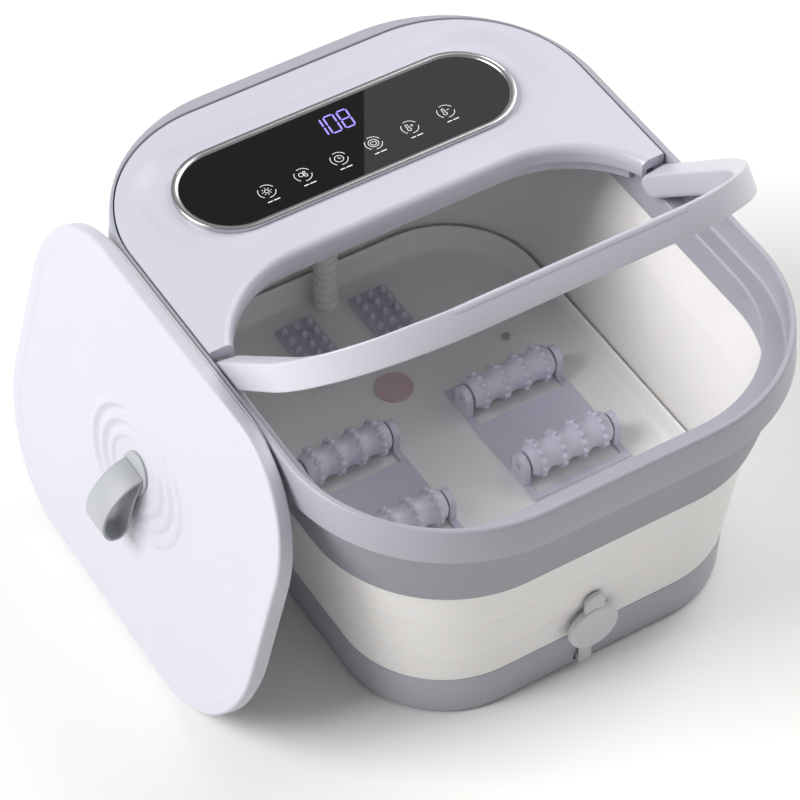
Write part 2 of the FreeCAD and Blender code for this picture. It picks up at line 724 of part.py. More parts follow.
def make_rollers():
    axles = []
    for side, sign in (("left", -1), ("right", 1)):
        middle = f"({sign} * roller_side)"
        half = "(roller_half + post_skin + 1)"
        plate = box(f"cradle_plate_{side}", (f"{middle} - {half}", "roller_middle - cradle_half", FLOOR),
                    (f"2 * {half}", "2 * cradle_half", "2"))
        windows, posts, bores = [], [], []
        for end, way in (("front", -1), ("rear", 1)):
            y = f"(roller_middle + {way} * roller_step / 2)"
            windows.append(box(f"cradle_window_{side}_{end}", (f"{middle} - roller_half - 1", f"{y} - 17",
                                                               f"{FLOOR} - 1"),
                               ("2 * (roller_half + 1)", "34", "4")))
            for k, edge in enumerate((f"{middle} - {half}", f"{middle} + roller_half + 1")):
                posts.append(box(f"cradle_post_{side}_{end}_{k}", (edge, f"{y} - 8", FLOOR),
                                 ("post_skin", "16", "roller_lift + 2")))
                posts.append(cylinder(f"cradle_ear_{side}_{end}_{k}", (edge, y, AXLE_Z), "8", "post_skin",
                                      "X"))
            bores.append(cylinder(f"cradle_bore_{side}_{end}", (f"{middle} - {half} - 1", y, AXLE_Z),
                                  "axle_radius", f"2 * {half} + 2", "X"))
            core = cylinder(f"roller_core_{side}_{end}", (f"{middle} - roller_half + 0.5", y, AXLE_Z),
                            "roller_radius", "2 * roller_half - 1", "X")
            rings = [cylinder(f"roller_ring_{side}_{end}_{k}",
                              (f"{middle} + ({k} - 1.5) * ring_step - ring_width / 2", y, AXLE_Z),
                              "roller_radius + ring_rise", "ring_width", "X") for k in range(4)]
            hole = cylinder(f"roller_bore_{side}_{end}", (f"{middle} - roller_half - 1", y, AXLE_Z),
                            "axle_radius + roller_play", "2 * roller_half + 2", "X")
            keep(cut(f"roller_cut_{side}_{end}", join(f"roller_solid_{side}_{end}", core, *rings), hole),
                 f"roller_{side}_{end}")
            axles.append(cylinder(f"axle_{side}_{end}", (f"{middle} - {half}", y, AXLE_Z), "axle_radius",
                                  f"2 * {half}", "X"))
        frame = join(f"cradle_frame_{side}", plate, *posts)
        keep(cut(f"cradle_cut_{side}", frame, *windows, *bores), f"roller_cradle_{side}")

        # A strip of pressure nubs for the arch of the foot, behind the rollers.
        strip = box(f"strip_{side}", (f"({sign} * strip_side) - strip_half", "strip_front", FLOOR),
                    ("2 * strip_half", "strip_long", "3"))
        nubs = [cylinder(f"nub_{side}_{row}_{k}",
                         (f"({sign} * strip_side) + ({k} - 1) * nub_step",
                          f"strip_front + 6 + {row} * nub_step",
                          f"{FLOOR} + 2"), "nub_radius", "1 + nub_rise")
                for row in range(NUB_ROWS) for k in range(3)]
        keep(join(f"strip_joined_{side}", strip, *nubs), f"nub_strip_{side}")
    keep(group("axle_set", *axles), "roller_axles")


# ---------------------------------------------------------------- control deck


def deck_slab(name, outline, edge, low, high, tip="deck_tip"):
    """The rear of an outline: behind the tips, and clear of the lid's place by an edge width."""
    slab = prism(name + "_slab", low, high, outline)
    hole = prism(name + "_hole", f"{low} - 1", f"{high} + 1", grown(LID_SEAT, f"lid_play + {edge}"))
    front = box(name + "_front", ("0 - half_width - 20", "0 - half_length - 20", f"{low} - 1"),
                ("2 * half_width + 40", f"half_length + 20 + {tip}", f"({high}) - ({low}) + 2"))
    return cut(name, slab, hole, front)


def make_deck():
    seat = f"({LEDGE} + deck_flange)"
    dish_floor = "(height - dish_depth)"
    outer = deck_slab("deck_outer", DECK, "0", seat, "height")
    hollow = deck_slab("deck_hollow", grown(DECK, "0 - deck_skin"), "deck_skin", f"{seat} - 1",
                       f"{dish_floor} - deck_skin", "deck_tip + deck_skin")
    relief = prism("deck_relief", f"{seat} - 1", DECK_LOW, grown(LID_SEAT, "lid_play + lip_relief"))
    dish = prism("deck_dish", dish_floor, "height + 1",
                 ("dish_half", "0 - dish_front", "dish_back", "dish_corner", "dish_corner"))
    window = prism("deck_window", f"{dish_floor} - deck_skin - 1", f"{dish_floor} + 1",
                   panel_outline("bezel_wall + window_step"))
    keep(cut("deck_cover_cut", outer, hollow, relief, dish, window), "deck_cover")

    inside = grown(WELL, "0 - 0.5")
    pan = deck_slab("tray_pan", inside, "tray_inset", TRAY_LOW, f"{DECK_LOW} - 0.2")
    flange = deck_slab("tray_flange", DECK, "lip_relief + 2", LEDGE, seat)
    scoop = deck_slab("tray_scoop", grown(inside, "0 - tray_skin"), "tray_inset + tray_skin",
                      f"{TRAY_LOW} + tray_skin", DECK_LOW)
    port = cylinder("tray_port", ("0", "bellows_back", f"{TRAY_LOW} - 1"), "bellows_radius - 3",
                    "tray_skin + 2")
    keep(cut("tray_cut", join("tray_solid", pan, flange), scoop, port), "deck_tray")

    # Panel: metal bezel round a black glass, with the touch board and the digits behind it.
    keep(prism("bezel_body", dish_floor, f"{dish_floor} + bezel_rise", panel_outline("0"),
               panel_outline("bezel_wall")), "panel_bezel")
    keep(prism("glass_body", dish_floor, f"{dish_floor} + glass_skin",
               panel_outline("bezel_wall + glass_gap")),
         "panel_glass")
    board = prism("touch_body", f"{dish_floor} - board_gap - board_skin", f"{dish_floor} - board_gap",
                  panel_outline("bezel_wall + window_step + 0.4"))
    gap = box("touch_gap", ("0 - digits_long / 2 - 0.3", "digits_middle - digits_wide / 2 - 0.3",
                            f"{dish_floor} - 4"), ("digits_long + 0.6", "digits_wide + 0.6", "5"))
    keep(cut("touch_cut", board, gap), "touch_board")
    keep(box("digits_block", ("0 - digits_long / 2", "digits_middle - digits_wide / 2",
                              f"{dish_floor} - digits_tall"),
             ("digits_long", "digits_wide", "digits_tall - 0.1")), "digit_display")

    # Control board and buzzer on the floor of the tray.
    tray_floor = f"({TRAY_LOW} + tray_skin)"
    legs = [cylinder(f"deck_leg_{k}", (f"({k % 2} - 0.5) * (deck_board_long - 10)",
                                       f"deck_board_back + 5 + {k // 2} * (deck_board_wide - 10)",
                                       tray_floor),
                     "3", "3") for k in range(4)]
    keep(group("deck_leg_set", *legs), "deck_standoffs")
    keep(box("deck_pcb", ("0 - deck_board_long / 2", "deck_board_back", f"{tray_floor} + 3"),
             ("deck_board_long", "deck_board_wide", "board_skin")), "control_board")
    on_board = f"{tray_floor} + 3 + board_skin"
    keep(cylinder("buzzer_can", ("deck_board_long / 2 - 14", "deck_board_back + 14", on_board), "6", "5.5"),
         "buzzer")
    keep(box("driver_chip", ("0 - 10", "deck_board_back + 16", on_board), ("20", "20", "2.4")),
         "driver_chip")
    keep(group("tray_screw_set", *[
        cylinder(f"tray_screw_{k}", (f"({k} - 1.5) * 60", "half_length - tray_screw_inset", seat), "3",
                 "2.4")
        for k in range(4)]), "tray_screws")


def make_bellows():
    """A ribbed silicone sleeve for the wires, from the tub floor up to the tray."""
    tube = [cylinder("bellows_core", ("0", "bellows_back", FLOOR), "bellows_radius - 2",
                     f"{TRAY_LOW} - 0.3 - {FLOOR}")]
    for k in range(BELLOWS_RIBS):
        tube.append(cylinder(f"bellows_rib_{k}", ("0", "bellows_back", f"{FLOOR} + 4 + {k} * bellows_step"),
                             "bellows_radius", "4"))
    bore = cylinder("bellows_bore", ("0", "bellows_back", f"{FLOOR} - 1"), "bellows_radius - 4",
                    f"{TRAY_LOW} + 2 - {FLOOR}")
    keep(cut("bellows_cut", join("bellows_solid", *tube), bore), "wire_bellows")


# ---------------------------------------------------------------- carrying bow


def make_bow():
    """Modelled stowed, with the pivot axis at the origin, then raised about that axis."""
    inner = ("lid_half + lid_play", "0 - lid_front + pivot_back + lid_play",
             "lid_back - pivot_back + lid_play",
             "lid_front_corner + lid_play", "lid_back_corner + lid_play")
    outer = ("bow_half", "bow_reach", "90", "bow_corner", "20")
    low, high = "(0 - bow_height / 2)", "(bow_height / 2)"
    band = prism("bow_band", low, high, outer, inner)
    lip = prism("bow_lip_ring", low, f"{low} + bow_lip_height", grown(inner, "1"),
                grown(inner, "0 - bow_lip"))
    rear = box("bow_rear", ("0 - bow_half - 5", "0", f"{low} - 1"),
               ("2 * bow_half + 10", "100", "bow_height + 2"))
    arms = cut("bow_arms", join("bow_ring", band, lip), rear)
    ends, bores = [], []
    for side, start in (("right", "(bow_half - bow_root)"), ("left", "(0 - bow_half)")):
        ends.append(cylinder(f"bow_end_{side}", (start, "0", "0"), "bow_height / 2", "bow_root", "X"))
        bores.append(cylinder(f"bow_bore_{side}", (f"{start} - 1", "0", "0"), "pin_radius + pin_play",
                              "bow_root + 2", "X"))
    solid = join("bow_solid", arms, *ends)
    slot = box("grip_slot", ("0 - grip_half", "0 - bow_reach + 1", f"{high} - grip_skin"),
               ("2 * grip_half", "grip_width", "grip_skin + 1"))
    pad_box = box("grip_box", ("0 - grip_half + 0.2", "0 - bow_reach + 1.2", f"{high} - grip_skin"),
                  ("2 * grip_half - 0.4", "grip_width - 0.4", "grip_skin"))
    bow = keep(cut("bow_cut", solid, *bores, slot), "handle_bow")
    grip = keep(common("grip_common", solid, pad_box), "grip_strip")
    for item in (bow, grip):
        item.Placement = FreeCAD.Placement(
            FreeCAD.Vector(), FreeCAD.Rotation(FreeCAD.Vector(-1, 0, 0), number("bow_raise")))
        bind(item, "Placement.Rotation.Angle", "bow_raise")
        place(item, "0", "pivot_back", PIVOT_Z)

    pins, washers = [], []
    gap = f"({INNER_HALF} - bow_half)"
    for side, pin_start, washer_start in (
            ("left", f"0 - {INNER_HALF} - pin_seat", f"0 - {INNER_HALF}"),
            ("right", f"{INNER_HALF} + pin_seat - pin_long", "bow_half + fit_gap")):
        pins.append(cylinder(f"pin_{side}", (pin_start, "pivot_back", PIVOT_Z), "pin_radius", "pin_long",
                             "X"))
        ring = cylinder(f"washer_disc_{side}", (washer_start, "pivot_back", PIVOT_Z), "pin_radius + 3",
                        f"{gap} - fit_gap", "X")
        hole = cylinder(f"washer_hole_{side}", (f"{washer_start} - 1", "pivot_back", PIVOT_Z), "pin_radius",
                        f"{gap} + 2", "X")
        washers.append(cut(f"washer_{side}", ring, hole))
    keep(group("pin_pair", *pins), "pivot_pins")
    keep(group("washer_pair", *washers), "pivot_washers")


# ---------------------------------------------------------------- lid


def make_lid():
    """Modelled lying flat with its underside at zero, then stood on its front edge against the rim."""
    middle = "((lid_front + lid_back) / 2)"
    plan = ("lid_half", f"{middle} - lid_front", f"lid_back - {middle}", "lid_front_corner",
            "lid_back_corner")
    shell = new_body("lid_shell_body")
    pad(shell, "plate", "0", "lid_plate", plan)
    pocket(shell, "underside", "0 - 1", "lid_plate - 3", grown(plan, "0 - 3"))
    screw_hole = cylinder("strap_hole", ("0", "0", "0"), "screw_radius", "lid_plate + 1")
    lid = keep(cut("lid_cut", shell, screw_hole), "lid_shell")
    liner_body = prism("lid_liner_body", "0", "lid_liner", grown(plan, "0 - 3.2"))
    boss = cylinder("liner_boss", ("0", "0", "0"), "6", "lid_plate - 3")
    hole = cylinder("liner_hole", ("0", "0", "0 - 1"), "screw_radius", "lid_plate")
    liner = keep(cut("liner_cut", join("liner_solid", liner_body, boss), hole), "lid_liner")
    gasket = keep(prism("gasket_body", "0 - lid_gasket", "0", grown(plan, "0 - 1"), grown(plan, "0 - 5")),
                  "lid_gasket")

    top = "lid_plate"
    base = cylinder("boss_disc", ("0", "0", top), "boss_radius", "boss_height")
    boss_hole = cylinder("boss_hole", ("0", "0", f"{top} - 1"), "screw_radius", "boss_height + 2")
    disc = keep(cut("boss_cut", base, boss_hole), "strap_boss")
    screw = keep(join("strap_screw_joined",
                      cylinder("strap_screw_shank", ("0", "0", "0 - 1"), "screw_radius",
                               f"{top} + boss_height"),
                      cylinder("strap_screw_head", ("0", "0", "0 - 1.4"), "screw_head", "1.4")),
                 "strap_screw")
    strap = keep(make_strap_loop(), "pull_strap")
    for item in (lid, liner, gasket, disc, screw, strap):
        stand_against_rim(item)


def make_strap_loop():
    """A teardrop loop of flat silicone, from the boss out to a round end."""
    width, skin = number("strap_width"), number("strap_skin")
    reach, rise, bend = number("strap_reach"), number("strap_rise"), number("strap_round")
    foot = FreeCAD.Vector(0, 6.5, number("lid_plate + boss_height"))
    middle = FreeCAD.Vector(0, -reach, foot.z + rise)

    def teardrop(radius, shrink):
        """Two tangents from a point near the foot to a circle, as one closed wire across the loop."""
        tip = foot + (middle - foot).normalize() * shrink
        span = middle - tip
        angle = math.acos(radius / span.Length)
        back = math.atan2(-span.z, -span.y)
        points = [middle + FreeCAD.Vector(0, math.cos(back + s * angle),
                                          math.sin(back + s * angle)) * radius
                  for s in (1, -1)]
        far = middle + span * (radius / span.Length)
        edges = [Part.LineSegment(tip, points[0]).toShape(),
                 Part.Arc(points[0], far, points[1]).toShape(),
                 Part.LineSegment(points[1], tip).toShape()]
        return Part.Face(Part.Wire(edges))

    out = FreeCAD.Vector(width, 0, 0)
    solid = teardrop(bend, 0).extrude(out).cut(teardrop(bend - skin, skin * 3.2).extrude(out))
    solid.translate(FreeCAD.Vector(-width / 2, 0, 0))
    item = doc.addObject("Part::Feature", "strap_loop")
    item.Shape = solid
    return item


def stand_against_rim(item):
    """Lay local +Z outwards, local +Y up the lean and local +X towards the front."""
    lean = math.radians(number("lid_lean"))
    half = number("(lid_back - lid_front) / 2")
    side = FreeCAD.Vector(0, -1, 0)
    up = FreeCAD.Vector(math.sin(lean), 0, math.cos(lean))
    out = FreeCAD.Vector(-math.cos(lean), 0, math.sin(lean))
    under = number("lid_gasket") + number("lean_gap")
    rim = FreeCAD.Vector(-number("half_width"), 0, number("height"))
    # The underside touches the rim's top edge and the front edge stands on the floor.
    height = half * math.cos(lean) + number("lean_gap")
    along = (rim.z - height - out.z * under) / up.z
    middle = FreeCAD.Vector(rim.x + out.x * under - up.x * along, number("lid_shift"), height)
    turn = FreeCAD.Rotation(side, up, out, "ZYX")
    item.Placement = FreeCAD.Placement(middle, turn)


# ---------------------------------------------------------------- build, check and write

for make in (make_rim_frame, make_skirt, make_folding_wall, make_base_shell, make_tub_floor,
             make_bottom_cover,
             make_base_insides, make_drain, make_rollers, make_deck, make_bellows, make_bow, make_lid):
    make()

doc.recompute()

for item in doc.Objects:
    if "Invalid" in item.State or "Error" in item.State:
        raise SystemExit(f"{item.Label} did not build: {item.State}")
for item in NODES:
    if item.Shape.isNull() or not item.Shape.isValid() or not item.Shape.Solids:
        raise SystemExit(f"{item.Label} is not a valid solid")
for item in NODES:
    item.Shape.exportStep(os.path.join("parts", item.Label + ".step"))
    print(item.Label, len(item.Shape.Solids), round(item.Shape.Volume / 1000, 2))
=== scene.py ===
import json
import math
from collections import namedtuple
from contextlib import contextmanager

import bmesh
import bpy
from mathutils import Matrix, Vector


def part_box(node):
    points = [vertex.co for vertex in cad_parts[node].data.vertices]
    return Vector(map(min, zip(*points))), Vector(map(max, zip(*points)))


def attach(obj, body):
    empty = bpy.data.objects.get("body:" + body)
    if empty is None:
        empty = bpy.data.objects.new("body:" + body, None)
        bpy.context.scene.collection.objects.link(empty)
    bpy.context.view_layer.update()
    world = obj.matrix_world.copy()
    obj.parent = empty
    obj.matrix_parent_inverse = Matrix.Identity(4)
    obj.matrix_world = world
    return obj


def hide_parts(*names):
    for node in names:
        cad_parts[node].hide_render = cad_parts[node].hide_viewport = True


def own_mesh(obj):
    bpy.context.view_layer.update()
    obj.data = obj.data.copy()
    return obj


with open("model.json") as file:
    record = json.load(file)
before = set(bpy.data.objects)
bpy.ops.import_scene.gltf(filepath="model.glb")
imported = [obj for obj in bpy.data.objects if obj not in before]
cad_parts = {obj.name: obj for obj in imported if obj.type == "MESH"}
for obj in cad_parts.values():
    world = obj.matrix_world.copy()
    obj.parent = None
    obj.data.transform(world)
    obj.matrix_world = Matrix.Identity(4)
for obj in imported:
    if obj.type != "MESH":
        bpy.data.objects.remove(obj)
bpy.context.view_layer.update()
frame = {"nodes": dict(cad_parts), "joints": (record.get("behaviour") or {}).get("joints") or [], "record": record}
NODES = frame["nodes"]
JOINTS = {joint["name"]: joint for joint in frame["joints"]}
PIVOT = Vector(JOINTS["handle_swing"]["pos_m"])
MM = 0.001
WELD = 1e-6
CRISP = math.radians(35)
NEAR_AXIS = 0.001

# Points closer than WELD metres are merged. A turned piece starts NEAR_AXIS millimetres out, so its middle
# closes. The places and sizes below are shared by several pieces, in millimetres, and are read from the frame
# where it has them.
rim_low, rim_high = (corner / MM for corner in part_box("rim_frame"))
wall_low, wall_high = (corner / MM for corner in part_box("folding_wall"))
base_low, base_high = (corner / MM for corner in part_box("base_shell"))
skirt_low, skirt_high = (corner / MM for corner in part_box("skirt_ring"))
deck_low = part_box("deck_cover")[0] / MM

FLARE = 1.9
RIM_TOP = rim_high.z
RIM_BAND = 27.0
LEDGE = RIM_TOP - 22.5
CURTAIN_LOW = rim_low.z
DECK_SEAT = deck_low.z
DECK_LIP = RIM_TOP - 14.0
FLOOR = base_high.z - 0.6


# ---------------------------------------------------------------- outlines and lofts


def arc_points(x, y, radius, start, end, steps=16):
    """Points along an arc about (x, y), with its angles in degrees."""
    angles = (math.radians(start + (end - start) * k / steps) for k in range(steps + 1))
    return [(x + radius * math.cos(angle), y + radius * math.sin(angle)) for angle in angles]


class Outline(namedtuple("Outline", "half front back front_round back_round")):
    """A rectangle with round corners, mirrored about Y; front and back are distances from X."""

    def grown(self, by):
        return Outline(*(size + by for size in self))

    def between(self, other, share):
        return Outline(*(a + (b - a) * share for a, b in zip(self, other)))

    def points(self, arc=22, line=10):
        """Anticlockwise from the left end of the front side."""
        hx, yf, yb, rf, rb = self.half, -self.front, self.back, self.front_round, self.back_round
        sides = (
            ((-hx + rf, yf), (hx - rf, yf), (hx - rf, yf + rf), rf, 270),
            ((hx, yf + rf), (hx, yb - rb), (hx - rb, yb - rb), rb, 0),
            ((hx - rb, yb), (-hx + rb, yb), (-hx + rb, yb - rb), rb, 90),
            ((-hx, yb - rb), (-hx, yf + rf), (-hx + rf, yf + rf), rf, 180),
        )
        found = []
        for start, end, centre, radius, turn in sides:
            for k in range(line):
                share = k / line
                found.append((start[0] + (end[0] - start[0]) * share,
                              start[1] + (end[1] - start[1]) * share))
            found += arc_points(*centre, radius, turn, turn + 90, arc)[:-1]
        return found


def even(half, length, corner):
    return Outline(half, length, length, corner, corner)


RIM = even(rim_high.x - FLARE, rim_high.y - FLARE, 117.0)
MOUTH = Outline(RIM.half - 4.5, RIM.front - 4.5, RIM.back - 10.5, 112.5, 98.0)
WELL = Outline(MOUTH.half - 13.0, RIM.front - 27.0, MOUTH.back - 13.0, 92.0, 85.0)
CURTAIN = Outline(WELL.half, RIM.front - 18.0, WELL.back, 97.0, 85.0)
SKIRT_TOP = even(skirt_high.x, skirt_high.y, 111.0)
SKIRT_FOOT = even(skirt_high.x - 13.0, skirt_high.y - 13.0, 98.0)
BASE = even(base_high.x, RIM.front - 36.0, 75.0)
LID = Outline(161.0, 118.5, 118.5, 85.0, 73.0)
LID_SEAT = Outline(162.5, 187.0, 53.0, 91.5, 81.5)


def mesh_object(name, verts, faces):
    """A piece from points in millimetres."""
    mesh = bpy.data.meshes.new(name)
    mesh.from_pydata([Vector(v) * MM for v in verts], [], faces)
    piece = bpy.data.objects.new(name, mesh)
    bpy.context.scene.collection.objects.link(piece)
    return piece


@contextmanager
def edited(piece):
    """A piece's mesh as a bmesh, written back when the work on it is over."""
    work = bmesh.new()
    work.from_mesh(piece.data)
    yield work
    work.to_mesh(piece.data)
    work.free()


def tidy(piece, smooth=True):
    """Merge what meets, drop what has no area and turn every face outwards."""
    with edited(piece) as work:
        bmesh.ops.remove_doubles(work, verts=work.verts, dist=WELD)
        bmesh.ops.dissolve_degenerate(work, edges=work.edges, dist=WELD)
        bmesh.ops.recalc_face_normals(work, faces=work.faces)
        for face in work.faces:
            face.smooth = smooth
    return piece


def soften(piece):
    """Shade smooth, with the sharp edges kept crisp."""
    with edited(piece) as work:
        for edge in work.edges:
            edge.smooth = edge.calc_face_angle(0) < CRISP
    return piece


def skin(name, rings, closed=True, caps=False):
    """Join rings of equal length; closed also joins the last ring to the first, caps fill the two ends."""
    count = len(rings[0])
    verts = [point for ring in rings for point in ring]
    faces = []
    last = len(rings) if closed else len(rings) - 1
    for r in range(last):
        a, b = r * count, ((r + 1) % len(rings)) * count
        for k in range(count):
            n = (k + 1) % count
            faces.append((a + k, a + n, b + n, b + k))
    if caps:
        faces.append(tuple(range(count)))
        faces.append(tuple(range(len(verts) - count, len(verts))))
    return soften(tidy(mesh_object(name, verts, faces)))


def level_rings(sections, **detail):
    """Flat rings of points from sections, each an (outline, growth, level)."""
    return [[(x, y, level) for x, y in outline.grown(growth).points(**detail)]
            for outline, growth, level in sections]


def loft(name, sections, closed=True, caps=False, **detail):
    return skin(name, level_rings(sections, **detail), closed, caps)


def prisms(name, outlines, low, high):
    """Upright prisms on flat outlines, all in one piece."""
    verts, faces = [], []
    for outline in outlines:
        first, count = len(verts), len(outline)
        verts += [(x, y, z) for z in (low, high) for x, y in outline]
        faces += [tuple(range(first, first + count)), tuple(range(first + count, first + 2 * count))]
        for k in range(count):
            n = (k + 1) % count
            faces.append((first + k, first + n, first + count + n, first + count + k))
    return tidy(mesh_object(name, verts, faces), smooth=False)


def bend(outline, growth, level, radius, start, end, steps=5):
    """Sections round an edge: the arc's centre is (growth, level), angles run from outwards to up."""
    return [(outline, *spot) for spot in arc_points(growth, level, radius, start, end, steps)]


def turned(name, profile, centre, axis="Z", steps=64):
    """A turned piece from (radius, height) points, closed round its profile."""
    frames = {"Z": ((1, 0, 0), (0, 1, 0), (0, 0, 1)), "X": ((0, 1, 0), (0, 0, 1), (1, 0, 0)),
              "Y": ((0, 0, 1), (1, 0, 0), (0, 1, 0))}
    across, along, up = (Vector(v) for v in frames[axis])
    rings = []
    for radius, height in profile:
        ring = []
        for k in range(steps):
            angle = 2 * math.pi * k / steps
            out = across * math.cos(angle) + along * math.sin(angle)
            ring.append(Vector(centre) + out * radius + up * height)
        rings.append(ring)
    return skin(name, rings)


def rounded(points, radii, steps=4):
    """A closed 2D outline with an arc of its own radius at each corner."""
    found = []
    for k, corner in enumerate(points):
        before = Vector(points[k - 1]) - Vector(corner)
        after = Vector(points[(k + 1) % len(points)]) - Vector(corner)
        a, b = before.normalized(), after.normalized()
        half = math.acos(max(-1, min(1, a.dot(b)))) / 2
        reach = min(radii[k] / math.tan(half), before.length * 0.49, after.length * 0.49)
        radius = reach * math.tan(half)
        middle = Vector(corner) + (a + b).normalized() * (radius / math.sin(half))
        first = Vector(corner) + a * reach - middle
        turn = (Vector(corner) + b * reach - middle).angle_signed(first)
        for s in range(steps + 1):
            spun = first.copy()
            spun.rotate(Matrix.Rotation(turn * s / steps, 2))
            found.append(middle + spun)
    return found


def move(piece, matrix):
    """Put a piece's place into its mesh; the matrix is in metres."""
    piece.data.transform(matrix)
    if matrix.is_negative:
        piece.data.flip_normals()
    return piece


def baked(piece):
    """Apply a piece's modifiers by making a plain mesh of its result."""
    bpy.context.view_layer.update()
    shown = piece.evaluated_get(bpy.context.evaluated_depsgraph_get())
    mesh = bpy.data.meshes.new_from_object(shown)
    piece.modifiers.clear()
    piece.data = mesh
    return piece


def carve(piece, *cutters):
    """Cut other meshes out of a piece and discard them."""
    for cutter in cutters:
        rule = piece.modifiers.new("cut", "BOOLEAN")
        rule.operation = "DIFFERENCE"
        rule.solver = "EXACT"
        rule.object = cutter
        baked(piece)
        bpy.data.objects.remove(cutter)
    return soften(piece)


def block(name, low, high, radius):
    """A box with rounded edges."""
    verts = [(x, y, z) for x in (low[0], high[0]) for y in (low[1], high[1]) for z in (low[2], high[2])]
    faces = [(0, 1, 3, 2), (4, 6, 7, 5), (0, 4, 5, 1), (2, 3, 7, 6), (0, 2, 6, 4), (1, 5, 7, 3)]
    piece = tidy(mesh_object(name, verts, faces))
    with edited(piece) as work:
        bmesh.ops.bevel(work, geom=work.edges[:], offset=radius * MM, segments=3, profile=0.5, affect="EDGES")
    return tidy(piece)


def plate(name, outline, low, high, radius, **detail):
    """A flat plate with rounded edges."""
    sections = bend(outline, -radius, low + radius, radius, -90, 0, 3)
    sections += bend(outline, -radius, high - radius, radius, 0, 90, 3)
    return loft(name, sections, closed=False, caps=True, **detail)


def smooth_step(low, high, value):
    share = max(0.0, min(1.0, (value - low) / (high - low)))
    return share * share * (3 - 2 * share)


def inside_by(outline, x, y):
    """How far a point lies inside an outline; negative outside."""
    radius = outline.back_round if y > 0.5 * (outline.back - outline.front) else outline.front_round
    middle = 0.5 * (outline.back - outline.front)
    dx = abs(x) - (outline.half - radius)
    dy = abs(y - middle) - (0.5 * (outline.back + outline.front) - radius)
    outer = math.hypot(max(dx, 0), max(dy, 0))
    return radius - outer - min(max(dx, dy), 0)


# ---------------------------------------------------------------- materials


def both_ways(operation):
    """An operator and its reflected form, each of which adds a Math node."""
    return (lambda value, other: value.math(operation, value, other),
            lambda value, other: value.math(operation, other, value))


class Value:
    """A number on a material's graph that arithmetic works on."""

    def __init__(self, paint, socket):
        self.paint = paint
        self.socket = socket

    def math(self, operation, *numbers):
        node = self.paint.add("ShaderNodeMath", {"operation": operation}, *numbers)
        return Value(self.paint, node.outputs[0])

    __add__, __radd__ = both_ways("ADD")
    __sub__, __rsub__ = both_ways("SUBTRACT")
    __mul__, __rmul__ = both_ways("MULTIPLY")
    __truediv__, __rtruediv__ = both_ways("DIVIDE")


class Graph:
    """A tree of shader or geometry nodes; self.tree is set by the kind of graph."""

    def add(self, kind, settings=None, *values, **named):
        """A node of a type, with its settings, then the values or links of its sockets."""
        node = self.tree.nodes.new(kind)
        for label, value in (settings or {}).items():
            setattr(node, label, value)
        sockets = list(enumerate(values))
        sockets += [(label.replace("_", " "), value) for label, value in named.items()]
        for label, value in sockets:
            self.feed(node.inputs[label], value)
        return node

    def feed(self, socket, value):
        if isinstance(value, Value):
            value = value.socket
        if isinstance(value, bpy.types.NodeSocket):
            self.tree.links.new(value, socket)
        else:
            socket.default_value = value


class Paint(Graph):
    """One material: a Principled shader and the nodes that vary it."""

    def __init__(self, name, color, roughness=0.4, **constants):
        self.material = bpy.data.materials.new(name)
        self.material.use_nodes = True
        self.tree = self.material.node_tree
        self.shader = self.tree.nodes["Principled BSDF"]
        self.color = color
        self.set("Base Color", (*color, 1.0))
        self.set("Roughness", roughness)
        for label, value in constants.items():
            self.set(label.replace("_", " "), value)
        self.place = self.add("ShaderNodeTexCoord").outputs["Object"]

    def set(self, label, value):
        self.feed(self.shader.inputs[label], value)

    def noise(self, size, detail=3.0, rough=0.5, at=None):
        """Noise from 0 to 1 whose features are about size millimetres."""
        node = self.add("ShaderNodeTexNoise", None, Vector=at or self.place, Scale=1 / (size * MM),
                        Detail=detail, Roughness=rough)
        return Value(self, node.outputs["Fac"])

    def cells(self, size, feature="F1"):
        node = self.add("ShaderNodeTexVoronoi", {"feature": feature}, Vector=self.place,
                        Scale=1 / (size * MM))
        return Value(self, node.outputs["Distance"])

    def stretched(self, x, y, z):
        """Object coordinates scaled along each axis."""
        return self.add("ShaderNodeMapping", None, Vector=self.place, Scale=(x, y, z)).outputs[0]

    def mixed(self, share, one, other):
        """A colour between two, by a value."""
        node = self.add("ShaderNodeMix", {"data_type": "RGBA"})
        self.feed(node.inputs[0], share)
        self.feed(node.inputs[6], (*one, 1.0))
        self.feed(node.inputs[7], (*other, 1.0))
        return node.outputs[2]

    def tint(self, share, strength):
        """Vary the base colour between a little darker and a little lighter."""
        dark = tuple(c * (1 - strength) for c in self.color)
        light = tuple(min(1.0, c * (1 + strength)) for c in self.color)
        self.set("Base Color", self.mixed(share, dark, light))

    def gloss(self, share, low, high):
        self.set("Roughness", low + share * (high - low))

    def bump(self, height, depth, strength=0.4):
        """Relief of a real depth in millimetres, from a value of 0 to 1."""
        node = self.add("ShaderNodeBump", None, Strength=strength, Distance=depth * MM, Height=height)
        self.set("Normal", node.outputs[0])


def plastic(name, color, roughness, grain=1.2, depth=0.02, tint=0.03, coat=0.0):
    """Moulded plastic: faint flow variation, fine surface texture and slightly uneven gloss."""
    paint = Paint(name, color, roughness, Coat_Weight=coat, Coat_Roughness=0.12)
    flow = paint.noise(70, 2)
    paint.tint(flow, tint)
    fine = paint.noise(grain, 2, 0.6)
    paint.gloss(paint.noise(24, 3), roughness - 0.05, roughness + 0.06)
    paint.bump(fine, depth)
    return paint.material


def lid_skin(name, color):
    """Polypropylene with a fine leather-like grain."""
    paint = Paint(name, color, 0.42, Coat_Weight=0.12, Coat_Roughness=0.25)
    grain = paint.cells(1.7, "SMOOTH_F1")
    fine = paint.noise(0.8, 2, 0.6)
    paint.tint(paint.noise(80, 2), 0.02)
    paint.gloss(grain, 0.36, 0.5)
    paint.bump(grain * 0.75 + fine * 0.25, 0.14, 0.38)
    return paint.material


